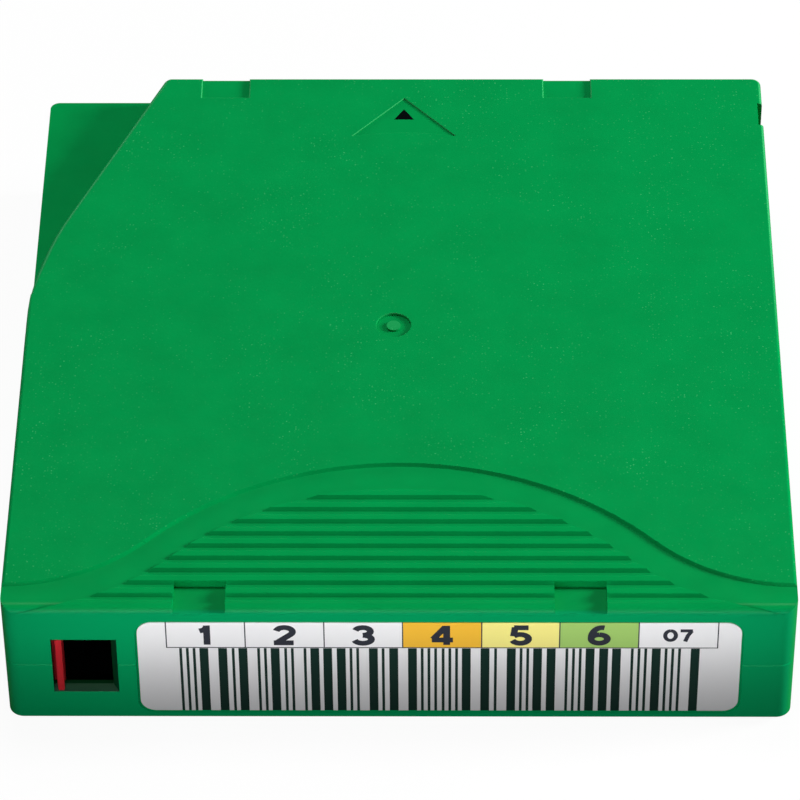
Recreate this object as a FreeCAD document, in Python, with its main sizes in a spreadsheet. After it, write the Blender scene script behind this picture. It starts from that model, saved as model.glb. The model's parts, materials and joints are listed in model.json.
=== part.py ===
import FreeCAD, Part

import math
import os

import Sketcher

# Data tape cartridge: a two-part case round one reel of tape, with a sliding door for the leader pin,
# a write-protect slider, a brake that locks the reel, and a memory board in one corner.
# Frame: X across, +Y the way it is inserted, +Z up; origin at the middle of the case's bottom face.
# A reel part is drawn about its own axis and placed on the hub axis.

CELLS = [
    ("case_width", 102.0, "outer size along X"),
    ("case_depth", 105.4, "outer size along Y"),
    ("case_height", 21.5, "outer size along Z"),
    ("parting_level", 10.7, "where the two case halves meet"),
    ("parting_bevel", 0.12, "bevel round each half there"),
    ("wall_thickness", 1.4, "front, back and right walls"),
    ("side_wall", 1.0, "left wall, beside the door"),
    ("floor_level", 1.3, "top of the case floor"),
    ("ceiling_level", 20.0, "underside of the case top"),
    ("front_corner", 2.0, "radius of the upright corners at the label"),
    ("back_corner", 1.3, "radius of the upright corners at the insertion end"),
    ("top_edge", 0.5, "radius of the top edges"),
    ("bottom_edge", 1.0, "radius of the bottom edges"),
    ("front_edge", 1.35, "radius of the top edge above the label"),
    ("corner_level", 16.8, "top of the low corner beside the door"),
    ("corner_ceiling", 16.1, "underside of the low corner"),
    ("corner_radius", 58.0, "arc of the low corner's step"),
    ("corner_arc_x", 7.0, "centre of that arc"),
    ("corner_arc_y", 0.9, "centre of that arc"),
    ("corner_slant", 22.58, "angle of the step's straight part from Y"),
    ("corner_right", -34.0, "right end of the low corner"),
    ("corner_rear", -1.0, "rear end of the low corner"),
    ("hub_x", -1.1, "reel axis"),
    ("hub_y", 0.4, "reel axis"),
    ("step_depth", 0.4, "how far the grip area lies below the top"),
    ("bell_radius", 45.0, "arc of the grip step's crown"),
    ("bell_y", -71.7, "centre of that arc"),
    ("shoulder_radius", 25.0, "arcs of the grip step's shoulders"),
    ("shoulder_y", -23.7, "centres of those arcs"),
    ("grip_inset", 4.0, "from the step to the ends of the ribs"),
    ("rib_first_y", -30.89, "rear foot of the first rib"),
    ("rib_pitch", 2.222, "spacing of the ribs"),
    ("rib_foot", 1.92, "width of a rib at its foot"),
    ("rib_back", 0.5, "run of a rib's rear slope"),
    ("rib_front", 0.42, "run of a rib's front slope"),
    ("rib_shoulder", 0.28, "height of a rib above the grip area, behind its crest"),
    ("rib_count", 10, "number of ribs"),
    ("arrow_apex_y", 48.2, "tip of the arrow recess"),
    ("arrow_base_y", 39.9, "corners of the arrow recess"),
    ("arrow_half", 7.33, "half the width of the arrow recess"),
    ("arrow_radius", 34.0, "arc of its base"),
    ("arrow_rise", 0.78, "how far the middle of its base is above the corners"),
    ("arrow_depth", 0.35, "depth of the arrow recess"),
    ("gate_radius", 2.35, "moulding gate mark over the hub"),
    ("gate_depth", 0.4, "depth of the gate mark"),
    ("gate_stub", 0.95, "radius of the stub in the gate mark"),
    ("gate_stub_drop", 0.1, "from the case top to the stub"),
    ("notch_half", 3.35, "half the width of a robot notch"),
    ("notch_spread", 24.4, "from the middle to a robot notch"),
    ("notch_middle", -1.15, "middle of the robot notches"),
    ("notch_front", 1.2, "depth of the notches above the label"),
    ("notch_front_length", 4.7, "their length"),
    ("notch_back", 0.55, "depth of the notches at the insertion end"),
    ("notch_back_length", 4.3, "their length"),
    ("ledge_length", 3.9, "thicker ceiling below the notches"),
    ("ledge_thickness", 1.2, "thicker ceiling below the notches"),
    ("ledge_margin", 1.0, "from a notch to the end of its ledge"),
    ("side_notch_y", 42.3, "start of the notch in the right wall"),
    ("side_notch_length", 4.7, "its length"),
    ("side_notch_depth", 0.7, "its depth"),
    ("side_notch_low", 6.0, "its lower end"),
    ("window_left", -44.8, "write-protect window"),
    ("window_right", -36.3, "write-protect window"),
    ("window_low", 5.6, "write-protect window"),
    ("window_high", 15.4, "write-protect window"),
    ("window_slope", 0.8, "bevel on its right and lower sides"),
    ("window_depth", 2.5, "how deep its opening is cut"),
    ("label_left", -33.65, "label"),
    ("label_right", 43.95, "label"),
    ("label_low", 1.97, "label"),
    ("label_high", 18.44, "label"),
    ("label_corner", 2.0, "radius of the label's corners"),
    ("label_margin", 0.3, "recess round the label"),
    ("label_recess", 0.3, "depth of that recess"),
    ("label_thickness", 0.12, "label stock"),
    ("door_opening_low", 26.0, "rear end of the opening in the left wall"),
    ("door_opening_high", 50.5, "front end of that opening"),
    ("door_rear", 24.5, "rear end of the closed door"),
    ("door_front", 50.9, "front end of the closed door"),
    ("door_thickness", 0.95, "door plate"),
    ("door_x", -49.9, "outer face of the door plate"),
    ("door_travel", 21.0, "how far the door slides"),
    ("groove_depth", 0.3, "door grooves and pin seats"),
    ("groove_end", 0.4, "from the door to each end of its grooves"),
    ("door_gap", 0.1, "door to its grooves"),
    ("tab_low", 3.0, "finger tab on the door"),
    ("tab_high", 14.4, "finger tab on the door"),
    ("tab_length", 1.8, "finger tab on the door"),
    ("tab_height", 0.9, "how far the tab stands out"),
    ("tab_margin", 0.6, "from the door's front end to the tab"),
    ("lug_length", 3.0, "lug that the door spring pushes"),
    ("lug_half", 1.3, "half its height"),
    ("lug_reach", 0.85, "from the spring's axis to its side"),
    ("hollow_depth", 0.35, "hollow in the door's inner face"),
    ("hollow_low", 3.2, "that hollow"),
    ("hollow_high", 14.2, "that hollow"),
    ("pin_x", -46.55, "leader pin axis"),
    ("pin_y", 44.0, "leader pin axis"),
    ("pin_flange", 1.45, "radius of the leader pin's ends"),
    ("pin_shaft", 1.05, "radius of its shaft"),
    ("pin_gap", 0.1, "leader pin to case, each end"),
    ("pin_seat", 0.15, "round each end of the leader pin"),
    ("pin_end", 0.5, "thickness of the leader pin's ends"),
    ("clip_radius", 1.75, "outer radius of the clip on the leader pin"),
    ("clip_margin", 0.2, "from the tape's edges to the clip's ends"),
    ("clip_slit", 0.3, "half the slit in the clip"),
    ("leaf_thickness", 0.3, "leaf spring of the leader pin"),
    ("leaf_arm", 0.6, "width of each of its arms"),
    ("leaf_foot", 2.55, "from the pin to its strip"),
    ("leaf_strip", 3.0, "length of its strip"),
    ("clamp_left", 3.2, "from the pin to the wall that holds the strip"),
    ("clamp_length", 2.0, "that wall"),
    ("clamp_width", 1.5, "that wall"),
    ("clamp_gap", 0.4, "that wall to the back wall"),
    ("clamp_high", 8.0, "top of that wall"),
    ("tape_low", 2.375, "lower edge of the tape"),
    ("tape_width", 12.65, "width of the tape"),
    ("flange_radius", 46.8, "reel flanges"),
    ("flange_low", 1.55, "underside of the lower flange"),
    ("flange_thickness", 0.8, "reel flanges"),
    ("pack_radius", 45.2, "full pack of tape"),
    ("hub_radius", 22.0, "where the tape is wound"),
    ("flange_seat", 0.5, "how far the upper flange reaches in over the hub"),
    ("pack_gap", 0.025, "tape to flange"),
    ("hub_bore", 19.5, "inside of the hub"),
    ("hub_opening", 18.5, "hole in the case floor below the hub"),
    ("web_top", 3.0, "top of the hub's web"),
    ("web_bore", 5.0, "hole in the hub's web"),
    ("gear_inner", 15.8, "drive teeth below the web"),
    ("gear_outer", 17.8, "drive teeth below the web"),
    ("tooth_count", 36, "teeth of each ring"),
    ("tooth_height", 0.9, "height of a tooth"),
    ("tooth_foot", 0.9, "width of a tooth at its foot"),
    ("tooth_tip", 0.4, "width of a tooth at its tip"),
    ("lock_inner", 10.5, "brake teeth"),
    ("lock_outer", 13.5, "brake teeth"),
    ("plate_inner", 7.0, "steel coupling plate"),
    ("plate_outer", 14.5, "steel coupling plate"),
    ("plate_thickness", 0.9, "steel coupling plate"),
    ("leg_ring", 16.8, "radius of the ring of release legs"),
    ("leg_radius", 0.95, "release legs"),
    ("leg_clearance", 0.2, "round each leg"),
    ("arm_half", 2.0, "half the width of a release arm"),
    ("arm_clearance", 0.25, "round each release arm"),
    ("pad_thickness", 0.7, "release pad"),
    ("pad_stud", 2.0, "radius of its stud below the brake"),
    ("stud_gap", 0.1, "stud to brake"),
    ("channel_depth", 0.7, "channels in the web for the release arms"),
    ("reel_turn", 5.0, "turns the reel half a tooth, so that its teeth mesh with the brake"),
    ("pad_centre", 4.6, "radius of the pad's middle"),
    ("disc_low", 4.1, "underside of the brake disc"),
    ("disc_thickness", 1.2, "brake disc"),
    ("disc_radius", 14.5, "brake disc"),
    ("button_radius", 1.5, "button below the brake disc"),
    ("button_height", 0.25, "button below the brake disc"),
    ("boss_radius", 4.9, "brake boss"),
    ("boss_top", 13.0, "brake boss"),
    ("key_low", 9.0, "lower end of the cross key"),
    ("key_half", 3.4, "half the length of a key arm"),
    ("key_thickness", 1.3, "thickness of a key arm"),
    ("key_gap", 0.15, "cross key to brake"),
    ("key_travel", 2.5, "how far the sockets run below the key"),
    ("spring_radius", 6.6, "mean radius of the brake spring"),
    ("spring_wire", 0.7, "brake spring wire"),
    ("spring_turns", 5, "brake spring"),
    ("door_spring_x", -48.4, "axis of the door spring"),
    ("door_spring_z", 9.0, "axis of the door spring"),
    ("door_spring_radius", 1.05, "mean radius of the door spring"),
    ("door_spring_wire", 0.24, "door spring wire"),
    ("door_spring_turns", 8, "door spring"),
    ("stand_y", -1.2, "rear face of the door spring's stand"),
    ("stand_thickness", 1.2, "that stand"),
    ("stand_low", 6.6, "its lower edge"),
    ("stand_reach", 1.3, "from the spring's axis to its side"),
    ("rod_radius", 0.55, "rod behind the door"),
    ("rod_clearance", 0.15, "round the rod"),
    ("spring_gap", 0.05, "each spring to what it pushes"),
    ("slider_left", -49.5, "write-protect slider"),
    ("slider_right", -43.4, "write-protect slider"),
    ("slider_travel", 6.2, "how far it slides"),
    ("slider_gap", 0.1, "its face to the front wall"),
    ("slider_low", 2.9, "lower edge of its face"),
    ("slider_high", 16.5, "upper edge of its face"),
    ("slider_thickness", 1.0, "its face"),
    ("slider_lip", 0.9, "its finger lip"),
    ("lip_gap", 0.2, "lip to the window's upper and lower sides"),
    ("lip_setback", 0.05, "front wall to the lip's front"),
    ("foot_width", 5.0, "its foot over the floor"),
    ("foot_rear", -43.9, "rear end of the foot"),
    ("foot_thickness", 0.9, "its foot"),
    ("shutter_front", -48.4, "shutter below the foot"),
    ("shutter_gap", 0.3, "shutter to floor"),
    ("slot_margin", 0.5, "from the slider's left side to the sensing slot"),
    ("slot_width", 4.0, "sensing slot in the floor"),
    ("slot_front", -47.6, "sensing slot"),
    ("slot_rear", -44.4, "sensing slot"),
    ("guide_front", -50.0, "ribs behind the slider"),
    ("guide_rear", -49.1, "ribs behind the slider"),
    ("guide_high", 2.6, "top of the lower rib"),
    ("guide_lap", 0.7, "from the slider's upper edge down to the upper rib"),
    ("board_left", 30.0, "memory board"),
    ("board_width", 11.0, "memory board"),
    ("board_length", 9.2, "memory board, up its slope"),
    ("board_thickness", 0.6, "memory board"),
    ("board_y", -44.0, "lower edge of the memory board"),
    ("board_lift", 0.48, "lower edge of the memory board above the floor"),
    ("rest_width", 0.9, "sloping rests of the memory board"),
    ("rest_margin", 0.4, "from the board's ends to its rests"),
    ("chip_size", 3.8, "memory chip"),
    ("chip_height", 0.8, "memory chip"),
    ("chip_left", 3.6, "from the board's left end to the chip"),
    ("chip_up", 3.0, "from the board's lower edge to the chip"),
    ("screw_shank", 1.0, "case screws"),
    ("screw_head", 1.9, "radius of a screw's head"),
    ("screw_head_height", 1.0, "case screws"),
    ("screw_low", 0.35, "lower end of the case screws"),
    ("screw_top", 15.5, "upper end of the case screws"),
    ("screw_hole_top", 17.0, "upper end of their holes"),
    ("screw_clearance", 0.15, "round the shank in the bottom half"),
    ("head_clearance", 0.2, "round the head"),
    ("head_seat", 1.4, "top of the counterbore"),
    ("drive_half", 1.1, "half the length of a screw's cross recess"),
    ("drive_width", 0.5, "its slots"),
    ("drive_depth", 0.6, "its depth"),
    ("boss_half", 2.4, "half the width of a screw post"),
    ("locator_radius", 2.5, "locating holes in the bottom"),
    ("locator_depth", 3.2, "locating holes in the bottom"),
    ("locator_wall", 0.8, "wall round a locating hole"),
    ("locator_roof", 1.2, "above a locating hole"),
    ("well_inner", 48.2, "arc walls round the reel"),
    ("well_wall", 0.9, "arc walls round the reel"),
    ("root", 0.8, "how far posts and walls run into the floor"),
]

SCREW_PLACES = [(-44.0, -40.0), (45.0, -46.0), (45.0, 46.5), (-31.5, 47.3)]
LOCATOR_PLACES = [(37.0, 46.3), (42.2, -38.0)]
WELL_ARCS = [(22.0, 48.0), (-65.0, 45.0), (-160.0, 48.0)]
PAST = 1.0  # how far a cutting tool runs past what it cuts

doc = FreeCAD.newDocument("tape_cartridge")
sheet = doc.addObject("Spreadsheet::Sheet", "Sizes")


def fill_sheet():
    """Writes each driving size with its alias."""
    for row, (alias, number, note) in enumerate(CELLS, start=1):
        sheet.set(f"A{row}", note)
        sheet.set(f"B{row}", str(number))
        sheet.setAlias(f"B{row}", alias)
    doc.recompute()


class Size:
    """A number together with the formula that gives it from the sheet."""

    def __init__(self, formula, number):
        self.formula = formula
        self.number = number

    def __add__(self, other):
        other = as_size(other)
        return Size(f"({self.formula} + {other.formula})", self.number + other.number)

    def __sub__(self, other):
        other = as_size(other)
        return Size(f"({self.formula} - {other.formula})", self.number - other.number)

    def __mul__(self, other):
        other = as_size(other)
        return Size(f"({self.formula} * {other.formula})", self.number * other.number)

    def __truediv__(self, other):
        other = as_size(other)
        return Size(f"({self.formula} / {other.formula})", self.number / other.number)

    def __neg__(self):
        return Size(f"(0 - {self.formula})", -self.number)

    def __radd__(self, other):
        return as_size(other) + self

    def __rsub__(self, other):
        return as_size(other) - self

    def __rmul__(self, other):
        return as_size(other) * self


def as_size(value):
    """Turns a plain number into a Size."""
    return value if isinstance(value, Size) else Size(f"({value})", float(value))


class Sizes:
    """Gives each aliased cell of the sheet as a Size."""

    def __getattr__(self, alias):
        return Size(f"Sizes.{alias}", float(sheet.get(alias)))


at = Sizes()


def bind(thing, **sizes):
    """Binds properties of an object to sizes; a double underscore stands for a dot."""
    for path, value in sizes.items():
        thing.setExpression(path.replace("__", "."), as_size(value).formula)
    return thing


def place(thing, x=0.0, y=0.0, z=0.0):
    """Binds an object's position to sizes."""
    base = {"Placement__Base__x": x, "Placement__Base__y": y, "Placement__Base__z": z}
    return bind(thing, **base)


def turn(thing, axis, degrees):
    """Sets an object's rotation about one axis."""
    thing.Placement.Rotation = FreeCAD.Rotation(FreeCAD.Vector(*axis), degrees)
    return thing


def box(low, high):
    """A block between two corners, each given as X, Y, Z."""
    block = place(doc.addObject("Part::Box", "block"), *low)
    length, width, height = (as_size(b) - a for a, b in zip(low, high))
    return bind(block, Length=length, Width=width, Height=height)


def cylinder(x, y, low, high, radius):
    """An upright cylinder."""
    post = place(doc.addObject("Part::Cylinder", "post"), x, y, low)
    return bind(post, Radius=radius, Height=as_size(high) - low)


def cone(x, y, low, high, lower_radius, upper_radius):
    """An upright cone."""
    taper = place(doc.addObject("Part::Cone", "taper"), x, y, low)
    return bind(taper, Radius1=lower_radius, Radius2=upper_radius, Height=as_size(high) - low)


def rod_along(axis, x, y, z, length, radius):
    """A cylinder along X or Y, from its start."""
    rod = doc.addObject("Part::Cylinder", "rod")
    turn(rod, (0, 1, 0) if axis == "X" else (1, 0, 0), 90 if axis == "X" else -90)
    place(rod, x, y, z)
    return bind(rod, Radius=radius, Height=length)


def fuse(*parts):
    """Joins solids."""
    if len(parts) == 1:
        return parts[0]
    joined = doc.addObject("Part::MultiFuse", "joined")
    joined.Shapes = list(parts)
    return joined


def cut(base, *tools):
    """Takes the tools away from the base."""
    rest = doc.addObject("Part::Cut", "rest")
    rest.Refine = True
    rest.Base = base
    rest.Tool = fuse(*tools)
    return rest


def common(*parts):
    """What the solids share."""
    shared = doc.addObject("Part::MultiCommon", "shared")
    shared.Shapes = list(parts)
    return shared


def rounded(base, radius, wanted):
    """Rounds the edges that the test picks."""
    doc.recompute()
    rounding = doc.addObject("Part::Fillet", "rounding")
    rounding.Base = base
    radius = as_size(radius).number
    picked = [i for i, edge in enumerate(base.Shape.Edges, start=1) if wanted(edge)]
    rounding.Edges = [(i, radius, radius) for i in picked]
    return rounding


def bevelled(base, size, wanted):
    """Bevels the edges that the test picks."""
    doc.recompute()
    bevel = doc.addObject("Part::Chamfer", "bevel")
    bevel.Base = base
    size = as_size(size).number
    picked = [i for i, edge in enumerate(base.Shape.Edges, start=1) if wanted(edge)]
    bevel.Edges = [(i, size, size) for i in picked]
    return bevel


def along(axis):
    """A test for straight edges along an axis."""
    def wanted(edge):
        if not isinstance(edge.Curve, Part.Line):
            return False
        return abs(edge.Curve.Direction.dot(FreeCAD.Vector(*axis))) > 0.999
    return wanted


def at_height(level):
    """A test for edges that lie at one height."""
    def wanted(edge):
        return edge.BoundBox.ZLength < 1e-4 and abs(edge.BoundBox.ZMin - as_size(level).number) < 1e-4
    return wanted


def new_body():
    """An empty body."""
    return doc.addObject("PartDesign::Body", "body")


def sketch_on(body, role, offset=0.0):
    """A sketch on one of the body's origin planes."""
    plane = next(item for item in body.Origin.OriginFeatures if item.Role == role)
    sketch = body.newObject("Sketcher::SketchObject", "sketch")
    sketch.AttachmentSupport = [(plane, "")]
    sketch.MapMode = "FlatFace"
    return bind(sketch, AttachmentOffset__Base__z=offset)


def polygon(sketch, corners):
    """A closed outline whose corners are bound to sizes."""
    corners = [(as_size(x), as_size(y)) for x, y in corners]
    first = sketch.GeometryCount
    points = [FreeCAD.Vector(x.number, y.number, 0) for x, y in corners]
    count = len(points)
    for i in range(count):
        sketch.addGeometry(Part.LineSegment(points[i], points[(i + 1) % count]), False)
    for i in range(count):
        follower = first + (i + 1) % count
        sketch.addConstraint(Sketcher.Constraint("Coincident", first + i, 2, follower, 1))
    for i, (x, y) in enumerate(corners):
        hold(sketch, "DistanceX", first + i, 1, x)
        hold(sketch, "DistanceY", first + i, 1, y)
    return sketch


def circle(sketch, x, y, radius):
    """A circle whose centre and radius are bound to sizes."""
    x, y, radius = as_size(x), as_size(y), as_size(radius)
    centre = FreeCAD.Vector(x.number, y.number, 0)
    upward = FreeCAD.Vector(0, 0, 1)
    index = sketch.addGeometry(Part.Circle(centre, upward, radius.number), False)
    hold(sketch, "DistanceX", index, 3, x)
    hold(sketch, "DistanceY", index, 3, y)
    held = sketch.addConstraint(Sketcher.Constraint("Radius", index, radius.number))
    sketch.setExpression(f"Constraints[{held}]", radius.formula)
    return sketch


def hold(sketch, kind, geometry, point, size):
    """Holds one coordinate of a point at a size."""
    rule = Sketcher.Constraint(kind, -1, 1, geometry, point, size.number)
    held = sketch.addConstraint(rule)
    sketch.setExpression(f"Constraints[{held}]", size.formula)


def revolve(body, sketch):
    """Turns a profile about the sketch's upright axis."""
    feature = body.newObject("PartDesign::Revolution", "turned")
    feature.Profile = sketch
    feature.ReferenceAxis = (sketch, ["V_Axis"])
    feature.Angle = 360
    return feature


def pad(body, sketch, length, backwards=False):
    """Raises a sketch."""
    feature = body.newObject("PartDesign::Pad", "raised")
    feature.Profile = sketch
    feature.Reversed = backwards
    return bind(feature, Length=length)


def pocket(body, sketch, length, backwards=False):
    """Sinks a sketch."""
    feature = body.newObject("PartDesign::Pocket", "sunk")
    feature.Profile = sketch
    feature.Reversed = backwards
    return bind(feature, Length=length)


def ring_of(body, feature, count):
    """Repeats a feature round the body's Z axis."""
    ring = body.newObject("PartDesign::PolarPattern", "ring")
    ring.Originals = [feature]
    axis = next(item for item in body.Origin.OriginFeatures if item.Role == "Z_Axis")
    ring.Axis = (axis, [""])
    ring.Angle = 360
    bind(ring, Occurrences=count)
    body.Tip = ring
    return ring


def named(thing, name):
    """Gives a sub-part its name."""
    thing.Label = name
    return thing


def low_corner(inset, bottom, top):
    """What lies outside the step of the low corner, moved inwards by the inset."""
    left = -at.case_width / 2 - PAST
    back = at.case_depth / 2 + PAST
    block = box((left, at.corner_rear, bottom), (at.corner_right, back, top))
    low = as_size(bottom) - PAST
    reach = at.corner_radius - inset
    disc = cylinder(at.corner_arc_x, at.corner_arc_y, low, as_size(top) + PAST, reach)
    angle = math.radians(at.corner_slant.number)
    slab = doc.addObject("Part::Box", "slab")
    turn(slab, (0, 0, 1), -at.corner_slant.number)
    place(slab, at.corner_arc_x - reach * math.cos(angle), at.corner_arc_y + reach * math.sin(angle), low)
    bind(slab, Length=reach, Width=reach, Height=as_size(top) - bottom + 2 * PAST)
    return cut(block, disc, slab)


def bell(inset, bottom, top, flare):
    """The grip area: bounded at the back by a crown arc between two shoulder arcs."""
    half = at.case_width / 2
    span = at.bell_radius + at.shoulder_radius
    joint = at.bell_y + (at.shoulder_y - at.bell_y) * (at.bell_radius - inset) / span
    front = -at.case_depth / 2 - PAST
    crown = cone(0, at.bell_y, bottom, top, at.bell_radius - inset, at.bell_radius - inset + flare)
    strip = box((-half - PAST, front, bottom), (half + PAST, joint, top))
    inner = at.shoulder_radius + inset
    shoulders = [cone(x, at.shoulder_y, bottom, top, inner, inner - flare) for x in (-half, half)]
    below = box((-half - PAST, front, bottom), (half + PAST, 0, top))
    return fuse(cut(strip, *shoulders), common(crown, below))


def grip_ribs():
    """Ribs across the grip area, a row of one profile; the last runs into the rounded front edge."""
    level = at.case_height - at.step_depth
    reach = at.case_width / 2 - at.front_corner
    wall = -at.case_depth / 2
    rear = at.rib_first_y
    front = rear - at.rib_foot
    body = new_body()
    sketch = sketch_on(body, "YZ_Plane", -reach)
    polygon(sketch, [(rear, level), (rear - at.rib_back, level + at.rib_shoulder),
                     (front + at.rib_front, at.case_height), (front, level),
                     (front, level - at.step_depth), (rear, level - at.step_depth)])
    rib = pad(body, sketch, reach * 2)
    row = body.newObject("PartDesign::LinearPattern", "row")
    row.Originals = [rib]
    axis = next(item for item in body.Origin.OriginFeatures if item.Role == "Y_Axis")
    row.Direction = (axis, [""])
    row.Reversed = True
    bind(row, Length=at.rib_pitch * (at.rib_count - 1), Occurrences=at.rib_count)
    body.Tip = row
    last = rear - at.rib_pitch * (at.rib_count - 1) - at.rib_foot / 2
    low = level - at.front_edge
    lip = box((-reach, wall, low), (reach, last, at.case_height - at.rib_shoulder / 4))
    outline = bell(at.grip_inset, low, at.case_height, -0.25)
    return cut(common(fuse(body, lip), outline), edge_strip(at.case_height, at.front_edge + 0.2))


def edge_strip(level, radius):
    """What rounding takes off the top edge above the label."""
    half = at.case_width / 2
    front = -at.case_depth / 2
    block = box((-half - PAST, front - PAST, level - radius), (half + PAST, front + radius, level + PAST))
    round_part = rod_along("X", -half - 2 * PAST, front + radius, level - radius,
                           at.case_width + 4 * PAST, radius)
    return cut(block, round_part)


def notch_sides(side):
    """The left and right sides of the robot notches on one side of the middle."""
    middle = at.notch_middle + at.notch_spread * side
    return middle - at.notch_half, middle + at.notch_half


def notches():
    """Robot notches in the top, at both ends."""
    tools = []
    top = at.case_height + PAST
    wall = at.case_depth / 2
    for side in (-1, 1):
        left, right = notch_sides(side)
        low = at.case_height - at.notch_front
        tools.append(box((left, -wall - PAST, low), (right, -wall + at.notch_front_length, top)))
        low = at.case_height - at.notch_back
        tools.append(box((left, wall - at.notch_back_length, low), (right, wall + PAST, top)))
    return tools


def notch_ledges():
    """Thicker ceiling below the notches."""
    ledges = []
    wall = at.case_depth / 2 - at.wall_thickness
    low = at.ceiling_level - at.ledge_thickness
    for side in (-1, 1):
        left, right = notch_sides(side)
        left, right = left - at.ledge_margin, right + at.ledge_margin
        for rear in (-wall, wall - at.ledge_length):
            ledges.append(box((left, rear, low), (right, rear + at.ledge_length, at.ceiling_level)))
    return ledges


def side_notch():
    """The notch in the right wall, through both halves."""
    wall = at.case_width / 2
    low = (wall - at.side_notch_depth, at.side_notch_y, at.side_notch_low)
    return box(low, (wall + PAST, at.side_notch_y + at.side_notch_length, at.case_height + PAST))


def window():
    """The write-protect window, bevelled on its right and lower sides."""
    front = -at.case_depth / 2
    hole = box((at.window_left, front - PAST, at.window_low + at.window_slope),
               (at.window_right - at.window_slope, front + at.window_depth, at.window_high))
    bevel = doc.addObject("Part::Wedge", "bevel")
    place(bevel, 0, front, 0)
    bind(bevel, Ymin=-0.01, Ymax=at.window_slope, Xmin=at.window_left, Xmax=at.window_right,
         Zmin=at.window_low, Zmax=at.window_high, X2min=at.window_left,
         X2max=at.window_right - at.window_slope, Z2min=at.window_low + at.window_slope,
         Z2max=at.window_high)
    return [hole, bevel]


def label_seat():
    """The shallow recess that the label lies in."""
    front = -at.case_depth / 2
    margin = at.label_margin
    seat = box((at.label_left - margin, front - PAST, at.label_low - margin),
               (at.label_right + margin, front + at.label_recess, at.label_high + margin))
    return rounded(seat, at.label_corner + margin, along((0, 1, 0)))


def door_opening(low, high):
    """The opening in the left wall."""
    left = -at.case_width / 2
    return box((left - PAST, at.door_opening_low, low), (left + at.side_wall, at.door_opening_high, high))


def door_groove(low, high):
    """A groove that guides one edge of the door, and the seat of one end of the leader pin."""
    left = -at.case_width / 2
    rear = at.door_rear - at.door_travel - at.groove_end
    inner = at.door_x + at.door_thickness + at.door_gap
    groove = box((left + at.side_wall, rear, low), (inner, at.door_front + at.groove_end, high))
    half = at.pin_flange + at.pin_seat
    way = box((left - PAST, at.pin_y - half, low), (at.pin_x, at.pin_y + half, high))
    return [groove, way, cylinder(at.pin_x, at.pin_y, low, high, half)]


def inner_space(low, high):
    """The space inside the walls."""
    half = at.case_width / 2
    deep = at.case_depth / 2 - at.wall_thickness
    return box((-half + at.side_wall, -deep, low), (half - at.wall_thickness, deep, high))


def well_walls(low, high):
    """Arc walls that guide the reel, in three corners, held inside the case walls."""
    walls = []
    for start, sweep in WELL_ARCS:
        outer = cylinder(at.hub_x, at.hub_y, low, high, at.well_inner + at.well_wall)
        outer.Angle = sweep
        turn(outer, (0, 0, 1), start)
        walls.append(outer)
    rings = cut(fuse(*walls), cylinder(at.hub_x, at.hub_y, low, high, at.well_inner))
    return common(rings, inner_space(low, high))


def screw_post(x, y, low, high):
    """The square post that one case screw runs through."""
    half = at.boss_half
    return box((x - half, y - half, low), (x + half, y + half, high))


def slider_guide(low, high):
    """A rib that keeps the slider against the front wall."""
    right = at.slider_right + at.slider_travel
    return box((at.slider_left, at.guide_front, low), (right, at.guide_rear, high))


def case_block(low, high):
    """A block of the case outline with rounded upright corners."""
    half, deep = at.case_width / 2, at.case_depth / 2
    block = box((-half, -deep, low), (half, deep, high))
    upright = along((0, 0, 1))
    fronts = rounded(block, at.front_corner, lambda edge: upright(edge) and edge.BoundBox.YMin < 0)
    return rounded(fronts, at.back_corner, lambda edge: upright(edge) and edge.BoundBox.YMin > 0)


def arrow_recess():
    """The triangular insertion mark."""
    body = new_body()
    base = at.arrow_base_y
    low = at.case_height - at.arrow_depth
    sketch = sketch_on(body, "XY_Plane", low)
    polygon(sketch, [(-at.arrow_half, base), (at.arrow_half, base), (0, at.arrow_apex_y)])
    pad(body, sketch, at.arrow_depth + PAST)
    centre = base + at.arrow_rise - at.arrow_radius
    return cut(body, cylinder(0, centre, low - PAST, at.case_height + 2 * PAST, at.arrow_radius))


def gate_mark():
    """The round moulding mark over the hub, with a stub in it."""
    low = at.case_height - at.gate_depth
    mark = cylinder(at.hub_x, at.hub_y, low, at.case_height + PAST, at.gate_radius)
    top = at.case_height - at.gate_stub_drop
    return cut(mark, cylinder(at.hub_x, at.hub_y, low - PAST, top, at.gate_stub))


def brake_key():
    """The cross below the ceiling that keeps the brake from turning."""
    arms = []
    for x, y in ((at.key_half, at.key_thickness / 2), (at.key_thickness / 2, at.key_half)):
        low = (at.hub_x - x, at.hub_y - y, at.key_low)
        arms.append(box(low, (at.hub_x + x, at.hub_y + y, at.ceiling_level)))
    return arms


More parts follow.
